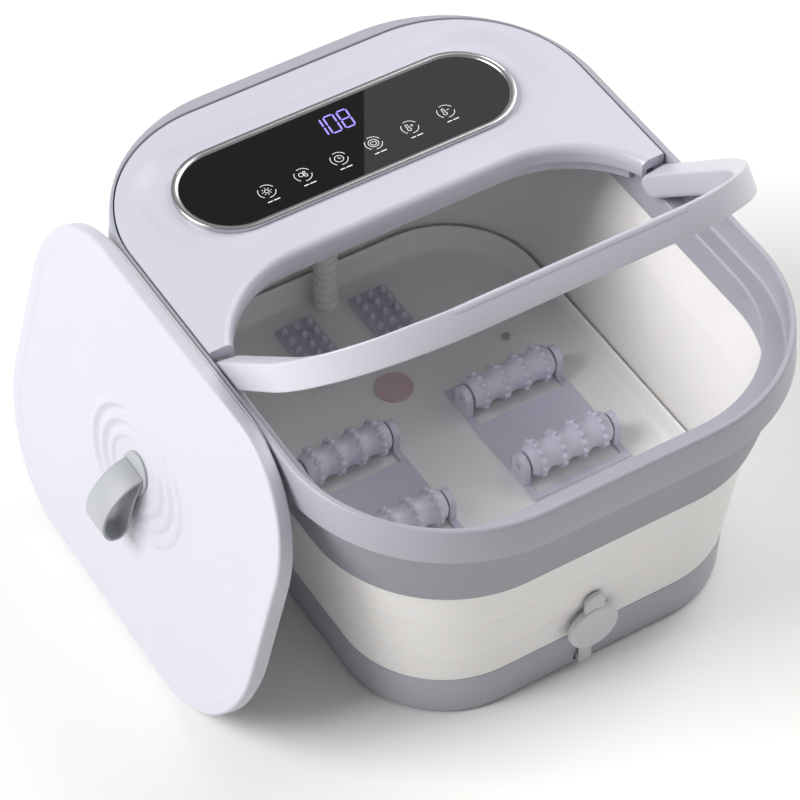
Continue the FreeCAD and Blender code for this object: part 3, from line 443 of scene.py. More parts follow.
def soft_wall(name, color):
    """Thermoplastic rubber: matt, slightly mottled, with faint drag marks along its folds."""
    paint = Paint(name, color, 0.55, Subsurface_Weight=0.08, Subsurface_Radius=(0.004, 0.003, 0.002))
    mottle = paint.noise(30, 3)
    drag = paint.noise(5, 2, 0.5, paint.stretched(0.12, 0.12, 1.0))
    paint.tint(mottle * 0.6 + drag * 0.4, 0.035)
    paint.gloss(mottle, 0.48, 0.64)
    paint.bump(drag * 0.6 + paint.noise(1.5, 2) * 0.4, 0.05)
    return paint.material


def brushed(name, color, roughness=0.24):
    """Metal with fine brushing along X."""
    paint = Paint(name, color, roughness, Metallic=1.0)
    lines = paint.noise(0.5, 2, 0.6, paint.stretched(0.04, 1.0, 1.0))
    paint.tint(lines, 0.05)
    paint.gloss(lines, roughness - 0.02, roughness + 0.06)
    paint.bump(lines, 0.002)
    return paint.material


def black_glass(name):
    """Polished black panel with the faintest smears on it."""
    paint = Paint(name, (0.0012, 0.0012, 0.0014), 0.01)
    smear = paint.noise(26, 4, 0.6)
    paint.gloss(smear, 0.004, 0.02)
    return paint.material


def glowing(name, color, strength):
    paint = Paint(name, color, 0.3, Emission_Strength=strength)
    pulse = paint.noise(1.4, 1)
    paint.set("Emission Color", paint.mixed(pulse, tuple(c * 0.8 for c in color), color))
    return paint.material


def print_ink_with_painted_glow(name, color):
    # Besides its worn tint, the printed ink emits a faint light of its own, a painted glow, and the wear noise
    # also varies the colour of that glow.
    paint = Paint(name, color, 0.5, Emission_Strength=0.25)
    wear_and_painted_glow = paint.noise(0.6, 2)
    paint.tint(wear_and_painted_glow, 0.12)
    paint.set("Emission Color", paint.mixed(wear_and_painted_glow, tuple(c * 0.7 for c in color), color))
    return paint.material


PEARL = (0.555, 0.555, 0.63)
SHELL = (0.375, 0.378, 0.428)
MATERIALS = {
    "deck": plastic("pearl_gloss", PEARL, 0.3, grain=14.0, depth=0.03, tint=0.015, coat=0.25),
    "shell": plastic("lavender_grey_satin", SHELL, 0.38, grain=1.0, depth=0.018, tint=0.03),
    # The skirt takes the shell grey darkened: painted shade standing for the rim's shadow on it.
    "skirt": plastic("shell_grey_painted_shade", (0.265, 0.268, 0.305), 0.42, grain=1.0, depth=0.018, tint=0.03),
    "bow": plastic("pale_lilac_satin", (0.54, 0.54, 0.60), 0.34, grain=1.0, depth=0.015, tint=0.02),
    "grip": plastic("soft_grip", (0.56, 0.56, 0.63), 0.58, grain=0.6, depth=0.05, tint=0.05),
    "lid": lid_skin("lid_grain", (0.555, 0.555, 0.62)),
    "wall": soft_wall("white_soft_wall", (0.80, 0.78, 0.765)),
    "tub": plastic("white_tub", (0.86, 0.87, 0.87), 0.3, grain=1.6, depth=0.02, tint=0.02),
    "strap": plastic("grey_silicone", (0.40, 0.41, 0.435), 0.46, grain=0.8, depth=0.03, tint=0.04),
    "plug": plastic("pale_grey_rubber", (0.58, 0.585, 0.61), 0.5, grain=0.8, depth=0.03, tint=0.04),
    "roller": plastic("lilac_roller", (0.60, 0.60, 0.71), 0.36, grain=1.0, depth=0.02, tint=0.05),
    "steel": brushed("stainless_steel", (0.62, 0.62, 0.64)),
    "bezel": brushed("satin_bezel", (0.56, 0.56, 0.57), 0.2),
    "glass": black_glass("black_panel"),
    "digits": glowing("violet_digits", (0.25, 0.19, 0.72), 1.0),
    # The white print carries a painted glow: it emits light though it is only ink.
    "ink": print_ink_with_painted_glow("white_print_painted_glow", (0.78, 0.78, 0.80)),
    "white": plastic("white_nylon", (0.72, 0.72, 0.72), 0.5),
    "black": plastic("black_rubber", (0.02, 0.02, 0.022), 0.62, grain=0.7, depth=0.05, tint=0.2),
    "case": plastic("black_nylon", (0.03, 0.03, 0.033), 0.5, tint=0.15),
    "zinc": brushed("zinc_plate", (0.50, 0.50, 0.50), 0.34),
    "heater": plastic("heater_film", (0.42, 0.10, 0.05), 0.35, tint=0.12),
    "board": plastic("green_board", (0.02, 0.16, 0.06), 0.35, tint=0.2, coat=0.3),
    "lens": plastic("frosted_lens", (0.66, 0.50, 0.50), 0.3, tint=0.05, coat=0.5),
}

SLOT_FINISHES = {
    "rim_white": "shell", "wall_white": "wall", "base_white": "shell", "deck_pearl": "deck",
    "panel_glass": "glass", "panel_metal": "bezel", "bow_lilac": "bow", "grip": "grip", "lid_lilac": "lid",
    "strap_lilac": "strap", "seal_grey": "plug", "roller_lilac": "roller", "steel": "steel",
    "white_plastic": "white", "black_rubber": "black", "pump_case": "case", "motor_steel": "zinc",
    "heater_red": "heater", "circuit_green": "board", "display": "case", "lens": "lens",
}


def finish_cad_nodes():
    """Give every CAD node that stays visible the procedural material of its slot."""
    for row in frame["record"]["subparts"]:
        node = NODES[row["node"]]
        node.data.materials.clear()
        node.data.materials.append(MATERIALS[SLOT_FINISHES[row["material_slot"]]])


def done(piece, body, finish, slot, *replaced):
    """The last step of a piece: its material, the body that it moves with and what it stands for."""
    piece.data.materials.clear()
    piece.data.materials.append(MATERIALS[finish])
    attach(piece, body)
    if replaced:
        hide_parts(*replaced)
    return piece


# ---------------------------------------------------------------- rim, skirt, wall and base


def make_rim():
    band_low = RIM_TOP - RIM_BAND
    sections = bend(RIM, FLARE - 1.6, band_low + 1.6, 1.6, -90, 0)
    sections += [(RIM, FLARE * 0.62, band_low + 10), (RIM, FLARE * 0.3, band_low + 18)]
    sections += bend(RIM, -2.6, RIM_TOP - 2.6, 2.6, 5, 90)
    sections += bend(MOUTH, 0.8, RIM_TOP - 0.8, 0.8, 90, 180)
    sections += [(MOUTH, 0.0, RIM_TOP - 10)]
    sections += bend(MOUTH, -2.5, LEDGE + 2.5, 2.5, 0, -90)
    sections += bend(WELL, 2.0, LEDGE - 2.0, 2.0, 90, 180)
    sections += [(WELL, 0.0, band_low), (CURTAIN, 0.05, band_low - 0.6), (CURTAIN, 0.05, CURTAIN_LOW + 8)]
    sections += bend(CURTAIN, 1.5, CURTAIN_LOW + 1.4, 1.4, 180, 360, 8)
    sections += [(CURTAIN, 3.0, band_low - 0.5), (CURTAIN, 3.5, band_low)]
    rim = loft("rim_band", sections)
    done(rim, "upper_frame", "shell", "rim_white", "rim_frame")


def make_skirt():
    low, high = skirt_low.z, skirt_high.z
    sections = bend(SKIRT_FOOT, -1.5, low + 1.5, 1.5, 180, 360, 8)
    for k in range(1, 6):
        sections.append((SKIRT_FOOT.between(SKIRT_TOP, k / 6), 0.0, low + (high - low) * k / 6))
    sections += [(SKIRT_TOP, 0.0, high), (SKIRT_TOP, -3.0, high)]
    skirt = loft("skirt_band", sections)
    # The skirt's darker material is painted shade: the shadow of the rim's overhang on it.
    done(skirt, "upper_frame", "skirt", "rim_white", "skirt_ring")


FOLD_LINES = (68.0, 103.0)
WALL_SKIN = 2.8


def make_wall():
    """The soft wall keeps the faint lines of its folds, which stand a little proud between them."""
    waist = SKIRT_FOOT.grown(-4.5)
    cuff = CURTAIN.grown(3.3 + WALL_SKIN)
    cuff_top = wall_high.z
    levels = [(wall_low.z, BASE), (skirt_low.z, waist), (CURTAIN_LOW, cuff), (cuff_top, cuff)]

    def at(level):
        for (z0, one), (z1, other) in zip(levels, levels[1:]):
            if level <= z1:
                return one.between(other, (level - z0) / (z1 - z0))
        return cuff

    def relief(level):
        groove = sum(math.exp(-((level - line) / 1.3) ** 2) for line in FOLD_LINES)
        ridge = sum(math.exp(-((level - line - 4.5) / 3.0) ** 2) for line in FOLD_LINES)
        return 0.3 * ridge - 0.5 * groove - 0.5 * math.exp(-((level - wall_low.z) / 1.2) ** 2)

    steps = 96
    heights = [wall_low.z + (cuff_top - wall_low.z) * k / steps for k in range(steps + 1)]
    sections = [(at(z), relief(z), z) for z in heights]
    sections += [(at(z), 0.15 * relief(z) - WALL_SKIN, z) for z in reversed(heights)]
    wall = loft("soft_wall", sections)
    done(wall, "base", "wall", "wall_white", "folding_wall")
    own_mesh(wall)


def make_base():
    low, high = base_low.z, base_high.z
    foot = BASE.grown(-1.5)
    sections = bend(foot, -2.2, low + 2.2, 2.2, -90, 0)
    sections += bend(BASE, -0.7, high - 0.7, 0.7, 0, 90, 3)
    sections += [(BASE, -3.0, high), (BASE, -3.0, FLOOR - 6), (BASE, -4.5, low)]
    base = loft("base_band", sections)
    tether_low, tether_high = (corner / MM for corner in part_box("plug_tether"))
    gland_low, gland_high = (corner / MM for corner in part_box("cord_gland"))
    slot = block("slot", (tether_low.x - 1.8, tether_low.y - 4, tether_low.z - 0.3),
                 (tether_high.x + 0.3, tether_low.y + 9, tether_low.z + 8), 1.0)
    middle = (gland_low + gland_high) / 2
    hole = turned("hole", [(NEAR_AXIS, -6), (6.2, -6), (6.2, 9), (NEAR_AXIS, 9)],
                  (middle.x, BASE.back - 3, middle.z), "Y", 32)
    carve(base, slot, hole)
    done(base, "base", "shell", "base_white", "base_shell")


def make_floor():
    """The tub floor sweeps up into its collar."""
    low, high = (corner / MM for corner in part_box("tub_floor"))
    edge = BASE.grown(-3.3)
    collar = 2.5
    sweep = 7.0
    sections = [(edge, -70.0, FLOOR), (edge, -40.0, FLOOR), (edge, -14.0, FLOOR)]
    sections += bend(edge, -collar - sweep, FLOOR + sweep, sweep, -90, 0, 7)
    sections += bend(edge, -collar / 2, high.z - collar / 2, collar / 2, 180, 0, 6)
    sections += [(edge, 0.0, low.z), (edge, -30.0, low.z), (edge, -70.0, low.z)]
    floor = loft("tub_shell", sections, closed=False, caps=True)
    done(floor, "base", "tub", "base_white", "tub_floor")


# ---------------------------------------------------------------- control deck and panel


bezel_low, bezel_high = (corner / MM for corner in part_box("panel_bezel"))
PANEL_ROUND = (bezel_high.y - bezel_low.y) / 2 - 0.4
PANEL = Outline(bezel_high.x, -bezel_low.y, bezel_high.y, PANEL_ROUND, PANEL_ROUND)
DISH = Outline(155.0, -73.5, 185.0, 50.0, 50.0)
DISH_DEPTH = 2.9
DECK_TIP = deck_low.y


def rear_path(outline, count):
    """The part of an outline behind the deck's tips, left to right round the back, evenly spaced."""
    dense = outline.points(arc=90, line=60)
    start = next(k for k in range(len(dense)) if dense[k][1] < DECK_TIP <= dense[k + 1][1])
    run = dense[start:] + dense[:start]
    behind = [Vector((x, y)) for x, y in run if y >= DECK_TIP]
    first = behind[0].copy()
    last = behind[-1].copy()
    first.y = last.y = DECK_TIP
    path = [first] + behind + [last]
    lengths = [0.0]
    for a, b in zip(path, path[1:]):
        lengths.append(lengths[-1] + (b - a).length)
    found = []
    k = 0
    for step in range(count):
        want = lengths[-1] * step / (count - 1)
        while k < len(lengths) - 2 and lengths[k + 1] < want:
            k += 1
        span = lengths[k + 1] - lengths[k]
        share = (want - lengths[k]) / span if span else 0
        found.append(path[k].lerp(path[k + 1], share))
    return found


def deck_level(x, y):
    """The deck's top: level at its edges, sinking gently into a dish round the panel."""
    return RIM_TOP - DISH_DEPTH * smooth_step(0, 20, inside_by(DISH, x, y))


def make_deck():
    count = 300
    outer = MOUTH.grown(-1.2)
    skin_thick = 2.6
    edge, front = 1.3, 6.0

    def ring(outline, growth, level):
        return [(p.x, p.y, level) for p in rear_path(outline.grown(growth), count)]

    def arc(outline, growth, level, radius, start, end, steps):
        return [ring(*section) for section in bend(outline, growth, level, radius, start, end, steps)]

    rings = [ring(outer, -skin_thick, DECK_SEAT), ring(outer, 0, DECK_SEAT)]
    rings += arc(outer, -edge, RIM_TOP - edge, edge, 0, 90, 4)
    near = rear_path(outer.grown(-edge), count)
    far = rear_path(LID_SEAT.grown(front), count)
    rows = 64
    for r in range(1, rows):
        share = r / rows
        line = [a.lerp(b, share) for a, b in zip(near, far)]
        rings.append([(p.x, p.y, deck_level(p.x, p.y)) for p in line])
    rings += arc(LID_SEAT, front, RIM_TOP - front, front, 90, 180, 8)
    rings += arc(LID_SEAT, 1.4, DECK_LIP + 1.4, 1.4, 180, 270, 3)
    rings.append(ring(LID_SEAT, 3.4, DECK_LIP))
    rings.append(ring(LID_SEAT, 3.6, RIM_TOP - 8.5))
    for r in (0.25, 0.5, 0.75):
        line = [b.lerp(a, r) for a, b in zip(near, far)]
        rings.append([(p.x, p.y, RIM_TOP - 8.5) for p in line])
    rings.append(ring(outer, -skin_thick, RIM_TOP - 8.5))
    last = len(rings[0]) - 1
    verts = [point for line in rings for point in line]
    faces = []
    for r in range(len(rings)):
        a, b = r * count, ((r + 1) % len(rings)) * count
        for k in range(count - 1):
            faces.append((a + k, a + k + 1, b + k + 1, b + k))
    faces.append(tuple(r * count for r in range(len(rings))))
    faces.append(tuple(r * count + last for r in range(len(rings))))
    deck = tidy(mesh_object("deck_shell", verts, faces))
    through = [(PANEL, -7.0, RIM_TOP - 12), (PANEL, -7.0, RIM_TOP + 5)]
    window = loft("window", through, closed=False, caps=True)
    carve(deck, window)
    done(deck, "upper_frame", "deck", "deck_pearl", "deck_cover")


def make_panel():
    low = RIM_TOP - DISH_DEPTH - 0.2
    top = bezel_high.z
    glass_top = top - 1.5
    sections = [(PANEL, -0.3, low), (PANEL, 0.0, low + 0.4), (PANEL, 0.0, top - 1.5)]
    sections += bend(PANEL, -1.3, top - 1.3, 1.3, 0, 80, 4)
    sections += [(PANEL, -1.75, top), (PANEL, -2.05, top - 0.35), (PANEL, -2.35, top - 0.35)]
    sections += [(PANEL, -3.4, top - 0.35), (PANEL, -4.7, top - 1.1), (PANEL, -5.0, glass_top - 0.2),
                 (PANEL, -5.0, low)]
    bezel = loft("panel_ring", sections, arc=40, line=4)
    done(bezel, "upper_frame", "bezel", "panel_metal", "panel_bezel")
    glass = loft("panel_face", [(PANEL, -4.9, glass_top - 1.2), (PANEL, -4.9, glass_top - 0.15),
                                (PANEL, -5.1, glass_top)], closed=False, caps=True, arc=40, line=4)
    done(glass, "upper_frame", "glass", "panel_glass", "panel_glass")
    make_digits(glass_top + 0.02)
    make_icons(glass_top + 0.02)


SEGMENTS = {
    # name: (centre x, centre y, upright) in a cell one unit wide and two tall
    "a": (0.5, 2.0, False), "b": (1.0, 1.5, True), "c": (1.0, 0.5, True), "d": (0.5, 0.0, False),
    "e": (0.0, 0.5, True), "f": (0.0, 1.5, True), "g": (0.5, 1.0, False),
}
DIGITS = ("bc", "abcdef", "abcdefg")


def make_digits(level):
    """Three seven-segment digits, slightly slanted, lit through the panel."""
    wide, high, stroke, gap, slant = 7.1, 8.3, 1.2, 3.1, 0.09
    left, bottom = -14.6, 135.8
    tip = stroke / 2
    outlines = []
    for place, lit in enumerate(DIGITS):
        for name in lit:
            cx, cy, upright = SEGMENTS[name]
            half = (high if upright else wide) / 2 - 0.35
            shape = [(-half, 0), (-half + tip, tip), (half - tip, tip), (half, 0), (half - tip, -tip),
                     (-half + tip, -tip)]
            if upright:
                shape = [(y, x) for x, y in shape]
            outline = []
            for x, y in shape:
                above = cy * high + y
                outline.append((left + cx * wide + x + place * (wide + gap) + above * slant, bottom + above))
            outlines.append(outline)
    digits = prisms("glowing_digits", outlines, level, level + 0.05)
    done(digits, "upper_frame", "digits", "display")


def stroke_piece(name, strokes, level, width):
    """Flat printed lines: each stroke is a list of points, closed when its ends meet."""
    verts, faces = [], []
    for stroke in strokes:
        points = [Vector(p) for p in stroke]
        closed = (points[0] - points[-1]).length < 1e-6
        first = len(verts)
        for k, point in enumerate(points):
            before = points[k - 1] if k else (points[-2] if closed else point)
            after = points[k + 1] if k < len(points) - 1 else (points[1] if closed else point)
            way = (after - before).normalized()
            side = Vector((-way.y, way.x)) * width / 2
            for spot in (point + side, point - side):
                for z in (level, level + 0.04):
                    verts.append((spot.x, spot.y, z))
        for k in range(len(points) - 1):
            a, b = first + 4 * k, first + 4 * (k + 1)
            faces += [(a, b, b + 1, a + 1), (a + 1, b + 1, b + 3, a + 3), (a + 3, b + 3, b + 2, a + 2),
                      (a + 2, b + 2, b, a)]
        if not closed:
            end = first + 4 * (len(points) - 1)
            faces += [(first, first + 1, first + 3, first + 2), (end, end + 2, end + 3, end + 1)]
    return tidy(mesh_object(name, verts, faces), smooth=False)


def glyph(kind, x, y):
    """Plain signs for light, bubbles, timer, power, warmer and cooler."""
    if kind == "light":
        rays = []
        for k in range(8):
            angle = math.radians(45 * k)
            rays.append([(x + r * math.cos(angle), y + r * math.sin(angle)) for r in (2.5, 3.5)])
        return [arc_points(x, y, 1.5, 0, 360)] + rays
    if kind == "bubbles":
        return [arc_points(x - 1.2, y + 0.6, 1.7, 0, 360), arc_points(x + 1.6, y - 1.1, 1.2, 0, 360),
                arc_points(x + 1.6, y + 1.9, 0.8, 0, 360)]
    if kind == "timer":
        return [arc_points(x, y, 3.1, 0, 360), [(x, y + 2.0), (x, y), (x + 1.6, y)]]
    if kind == "power":
        return [arc_points(x, y, 3.6, 0, 360), arc_points(x, y, 2.0, 125, 415), [(x, y + 0.6), (x, y + 2.4)]]
    bulb = [arc_points(x - 1.2, y - 1.8, 1.3, -230, 50), [(x - 2.0, y - 0.8), (x - 2.0, y + 2.4)],
            [(x - 0.4, y - 0.8), (x - 0.4, y + 2.4)], arc_points(x - 1.2, y + 2.4, 0.8, 0, 180)]
    bulb.append([(x + 0.9, y + 0.8), (x + 3.1, y + 0.8)])
    if kind == "warmer":
        bulb.append([(x + 2.0, y - 0.3), (x + 2.0, y + 1.9)])
    return bulb


ICONS = (("light", -69.5, 111.5), ("bubbles", -41.5, 112.5), ("timer", -13.5, 113.2), ("power", 13.5, 114.0),
         ("warmer", 42.0, 114.5), ("cooler", 70.5, 115.0))


def make_icons(level):
    """Six touch signs, each inside a broken ring with a short bar below it."""
    strokes, bars = [], []
    for kind, x, y in ICONS:
        for start in (20, 140, 260):
            strokes.append(arc_points(x, y, 6.0, start, start + 88))
        strokes += glyph(kind, x, y)
        bars.append([(x - 4.5, y - 9.6), (x - 1.0, y - 9.6)])
        bars.append([(x, y - 9.6), (x + 4.5, y - 9.6)])
    done(stroke_piece("touch_signs", strokes, level, 0.45), "upper_frame", "ink", "display")
    done(stroke_piece("touch_bars", bars, level, 0.8), "upper_frame", "ink", "display")


# ---------------------------------------------------------------- carrying bow


BOW_RAISE = -math.radians(JOINTS["handle_swing"]["range_deg"][0])
BOW_HIGH = 19.0
BOW_REACH = 187.0
BOW_CORNER = 103.0
BOW_EYE = 9.5
GRIP_PROUD = 0.3


def bow_path(half, reach, corner, rear):
    """The bow's plan from the end of the right arm to the end of the left, with the pivot axis at y = 0."""
    spots = [(half, y) for y in rear]
    straight = -(reach - corner)
    spots += [(half, straight * k / 12) for k in range(12)]
    spots += arc_points(half - corner, straight, corner, 0, -90, 48)
    spots += [((half - corner) * (1 - k / 10), -reach) for k in range(1, 10)]
    mirrored = [(-x, y) for x, y in reversed(spots)]
    return [Vector(p) for p in spots + [(0, -reach)] + mirrored]


def bow_matrix():
    return Matrix.Translation(PIVOT) @ Matrix.Rotation(-BOW_RAISE, 4, "X")


def make_bow():
    """A flat band that thickens into two sloped arms, each with a round end about its pivot."""
    ends = [9.35 * math.sin(math.radians(a)) for a in (80, 65, 50, 36, 24, 12)]
    outer = bow_path(171.5, BOW_REACH - GRIP_PROUD, BOW_CORNER, ends)
    inner = bow_path(153.5, 182.0, 82.5, ends)
    rings = []
    for one, other in zip(outer, inner):
        thick = (one - other).length
        way = (other - one) / thick
        high = BOW_HIGH / 2
        drop = 2.2 * smooth_step(5, 16, thick)
        lift = math.sqrt(max(0.0, 1 - (max(0.0, one.y) / BOW_EYE) ** 2))
        corners = [(0, -high), (0, high), (thick, high - drop), (thick, -high)]
        section = rounded(corners, (1.4, 1.6, 1.8, min(3.5, thick * 0.4)), 4)
        rings.append([(one.x + way.x * p.x, one.y + way.y * p.x, p.y * lift) for p in section])
    bow = skin("carrying_bow", rings, closed=False, caps=True)
    move(bow, bow_matrix())
    done(bow, "handle", "bow", "bow_lilac", "handle_bow")
    make_grip()


def make_grip():
    """A soft strip that wraps the top edge of the bow's front."""
    half, flat, count = 83.0, 68.5, 60
    rings = []
    for k in range(count + 1):
        x = half - 2 * half * k / count
        beyond = max(0.0, abs(x) - flat)
        y = -(BOW_REACH - BOW_CORNER) - math.sqrt(BOW_CORNER ** 2 - beyond ** 2)
        section = rounded([(0, 5.4), (0, 9.5), (5.0, 9.5), (5.0, 7.4)], (0.3, 1.6, 1.2, 0.3), 3)
        taper = smooth_step(0, 4, half - abs(x))
        rings.append([(x, y + p.x, 7.4 + (p.y - 7.4) * (0.8 + 0.2 * taper)) for p in section])
    grip = skin("grip_strip_soft", rings, closed=False, caps=True)
    move(grip, bow_matrix())
    done(grip, "handle", "grip", "grip", "grip_strip")


# ---------------------------------------------------------------- lid and strap


LID_LEAN = math.radians(14.7)
LID_SHIFT = 28.0
LID_PLATE = 10.0
UNDER = 2.3
RIPPLES = (31, 43.5, 56)
DIPS = (37, 50)


def lid_matrix():
    """Local +Z outwards, +Y up the lean and +X to the front, standing on the floor against the rim."""
    up = Vector((math.sin(LID_LEAN), 0, math.cos(LID_LEAN)))
    out = Vector((-math.cos(LID_LEAN), 0, math.sin(LID_LEAN)))
    height = LID.back * math.cos(LID_LEAN) + 0.3
    along = (RIM_TOP - height - out.z * UNDER) / up.z
    middle = Vector((-RIM.half + out.x * UNDER - up.x * along, LID_SHIFT, height)) * MM
    turn = Matrix((Vector((0, -1, 0)), up, out)).transposed().to_4x4()
    return Matrix.Translation(middle) @ turn


def ripple(x, y):
    """Three rings like ripples on water, strongest along the lid and fading across it."""
    far = math.hypot(x, y / 0.72)
    if far < 1:
        return 0.0
    fade = smooth_step(0.25, 0.85, abs(x) / far)
    rings = sum(math.exp(-((far - radius) / 2.6) ** 2) for radius in RIPPLES)
    dips = sum(math.exp(-((far - radius) / 3.0) ** 2) for radius in DIPS)
    return fade * (1.6 * rings - 0.9 * dips)


def make_lid():
    sections = bend(LID, -1.2, 1.2, 1.2, 270, 360, 4)
    sections += bend(LID, -2.2, LID_PLATE - 2.2, 2.2, 0, 90, 7)
    rings = level_rings(sections, arc=44, line=22)
    edge = rings[-1]
    steps = 130
    for k in range(1, steps):
        share = 1 - k / steps
        crown = 0.7 * (1 - share * share)
        ring = []
        for x, y, level in edge:
            px, py = x * share, y * share
            step = 0.5 * smooth_step(9, 14, inside_by(LID, px, py))
            ring.append((px, py, level + crown - step + ripple(px, py)))
        rings.append(ring)
    under = [(LID, -2.8, 0.0), (LID, -3.1, 1.2), (LID, -3.9, 1.2), (LID, -4.2, 0.05)]
    bottom = level_rings(reversed(under), arc=44, line=22)
    bottom = [[(x * s, y * s, 0.05) for x, y, z in bottom[0]] for s in (0.01, 0.3, 0.6, 0.85)] + bottom
    lid = skin("lid_panel", bottom + rings, closed=False, caps=True)
    move(lid, lid_matrix())
    done(lid, "lid", "lid", "lid_lilac", "lid_shell", "lid_liner")


def make_boss():
    low, high = LID_PLATE - 0.6, LID_PLATE + 2.4
    profile = [(NEAR_AXIS, low), (15, low), (15, high - 1.3)]
    profile += arc_points(13.8, high - 1.2, 1.2, 0, 90, 4)
    profile += [(8, high - 0.05), (NEAR_AXIS, high - 0.2)]
    boss = turned("strap_button", profile, (0, 0, 0))
    move(boss, lid_matrix())
    done(boss, "lid", "strap", "lid_lilac", "strap_boss")


def catmull(points, steps):
    """A smooth run through the points, from the second to the one before the last."""
    found = []
    for a, b, c, d in zip(points, points[1:], points[2:], points[3:]):
        for s in range(steps):
            t = s / steps
            found.append(0.5 * ((2 * b) + (c - a) * t + (2 * a - 5 * b + 4 * c - d) * t * t
                                + (3 * b - a - 3 * c + d) * t ** 3))
    return found + [points[-2]]


def make_strap():
    """A ribbon that leaves the button, turns over and comes back under itself."""
    spots = [(4, 7.0), (3.4, 12.4), (0, 19.5), (-7, 26.5), (-17, 32.2), (-28, 34.8), (-38, 32.8),
             (-44.6, 27.0), (-44.2, 19.6), (-37, 15.6), (-25, 15.8), (-13, 15.4), (-4, 13.4), (2.5, 12.2),
             (4.5, 8.0)]
    line = catmull([Vector(p) for p in spots], 8)
    half, thick = 12.0, 1.1
    rings = []
    for k, spot in enumerate(line):
        way = (line[min(k + 1, len(line) - 1)] - line[max(k - 1, 0)]).normalized()
        side = Vector((-way.y, way.x))
        section = rounded([(-half, -thick), (half, -thick), (half, thick), (-half, thick)], (0.8,) * 4, 3)
        rings.append([(p.x, spot.x + side.x * p.y, spot.y + side.y * p.y) for p in section])
    strap = skin("pull_loop", rings, closed=False, caps=True)
    move(strap, lid_matrix())
    done(strap, "lid", "strap", "strap_lilac", "pull_strap")


# ---------------------------------------------------------------- drain plug


def make_plug():
    low, high = (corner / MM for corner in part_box("drain_plug"))
    radius = 18.5
    x, z = (low.x + high.x) / 2, low.z + radius
    front = low.y
    depth = high.y - front
    profile = [(NEAR_AXIS, 0.5), (8, 0.25), (15, 0.0)]
    profile += arc_points(radius - 1.5, 1.5, 1.5, -90, 0, 4)
    profile += [(radius, 4.2), (radius - 0.8, 5.0), (6.0, 5.0), (5.8, depth - 1), (4.8, depth),
                (NEAR_AXIS, depth)]
    disc = turned("plug_disc", profile, (x, front, z), "Y")
    done(disc, "plug", "plug", "seal_grey", "drain_plug")
    top = high.z
    tab = plate("plug_tab", Outline(7.5, 11.0, 8.0, 3.0, 7.3), 0.9, 4.2, 1.0, arc=14, line=3)
    stand = Matrix(((1, 0, 0), (0, 0, 1), (0, 1, 0))).to_4x4()
    move(tab, Matrix.Translation(Vector((x, front, top - 8.0)) * MM) @ stand)
    done(tab, "plug", "plug", "seal_grey")
    t_low, t_high = (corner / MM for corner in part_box("plug_tether"))
    strip = block("plug_strap", (t_low.x, t_low.y, t_low.z), (t_high.x, t_low.y + 2.4, t_high.z), 0.9)
    hook = block("plug_hook", (t_low.x + 0.2, t_low.y + 1.2, t_low.z + 0.3),
                 (t_high.x - 0.2, t_high.y, t_low.z + 6), 0.6)
    done(strip, "base", "plug", "seal_grey", "plug_tether")
    done(hook, "base", "plug", "seal_grey")


# ---------------------------------------------------------------- what repeats, by Geometry Nodes


class Recipe(Graph):
    """A Geometry Nodes tree with named inputs; Start places its result and Material covers it."""

    def __init__(self, name, **inputs):
        self.tree = bpy.data.node_groups.new(name, "GeometryNodeTree")
        for label, value in inputs.items():
            socket = self.offer(label.replace("_", " "), "Int" if isinstance(value, int) else "Float")
            socket.default_value = value
        self.offer("Start", "Vector")
        self.offer("Material", "Material")
        self.offer("Geometry", "Geometry", "OUTPUT")
        self.given = self.tree.nodes.new("NodeGroupInput").outputs

    def offer(self, label, kind, way="INPUT"):
        return self.tree.interface.new_socket(label, in_out=way, socket_type="NodeSocket" + kind)

    def get(self, kind, settings=None, *values, **named):
        """The first output of a new node."""
        return self.add(kind, settings, *values, **named).outputs[0]

    def circle(self, radius, points):
        return self.get("GeometryNodeCurvePrimitiveCircle", Radius=radius, Resolution=points)

    def hoop(self, path, shape):
        return self.get("GeometryNodeCurveToMesh", Curve=path, Profile_Curve=shape)

    def grid(self):
        given = self.given
        return self.get("GeometryNodeMeshGrid", Size_X=given["Width"], Size_Y=given["Length"],
                        Vertices_X=given["Columns"], Vertices_Y=given["Rows"])

    def copies(self, points, one, **named):
        return self.get("GeometryNodeInstanceOnPoints", Points=points, Instance=one, **named)

    def end(self, geometry):
        """Move the result to its start, make it real, shade it and give it its material."""
        placed = self.get("GeometryNodeTransform", Geometry=geometry, Translation=self.given["Start"])
        real = self.get("GeometryNodeRealizeInstances", Geometry=placed)
        smooth = self.get("GeometryNodeSetShadeSmooth", Geometry=real)
        covered = self.get("GeometryNodeSetMaterial", Geometry=smooth, Material=self.given["Material"])
        self.add("NodeGroupOutput", None, covered)
        return self

    def run(self, name, **values):
        """Set the named inputs on an empty mesh and keep the plain mesh that the tree makes."""
        piece = bpy.data.objects.new(name, bpy.data.meshes.new(name))
        bpy.context.scene.collection.objects.link(piece)
        rule = piece.modifiers.new("make", "NODES")
        rule.node_group = self.tree
        inputs = (item for item in self.tree.interface.items_tree if item.in_out == "INPUT")
        keys = {item.name: item.identifier for item in inputs}
        for label, value in values.items():
            rule[keys[label.replace("_", " ")]] = value
        return baked(piece)


def stud_field():
    """Rounded studs on a grid."""
    field = Recipe("stud_field", Columns=3, Rows=6, Width=0.02, Length=0.05, Radius=0.003, Height=0.006)
    radius, height = field.given["Radius"], field.given["Height"]
    ball = field.get("GeometryNodeMeshUVSphere", Segments=12, Rings=8, Radius=1.0)
    size = field.get("ShaderNodeCombineXYZ", X=radius, Y=radius, Z=height)
    stud = field.get("GeometryNodeTransform", Geometry=ball, Scale=size)
    return field.end(field.copies(field.grid(), stud))


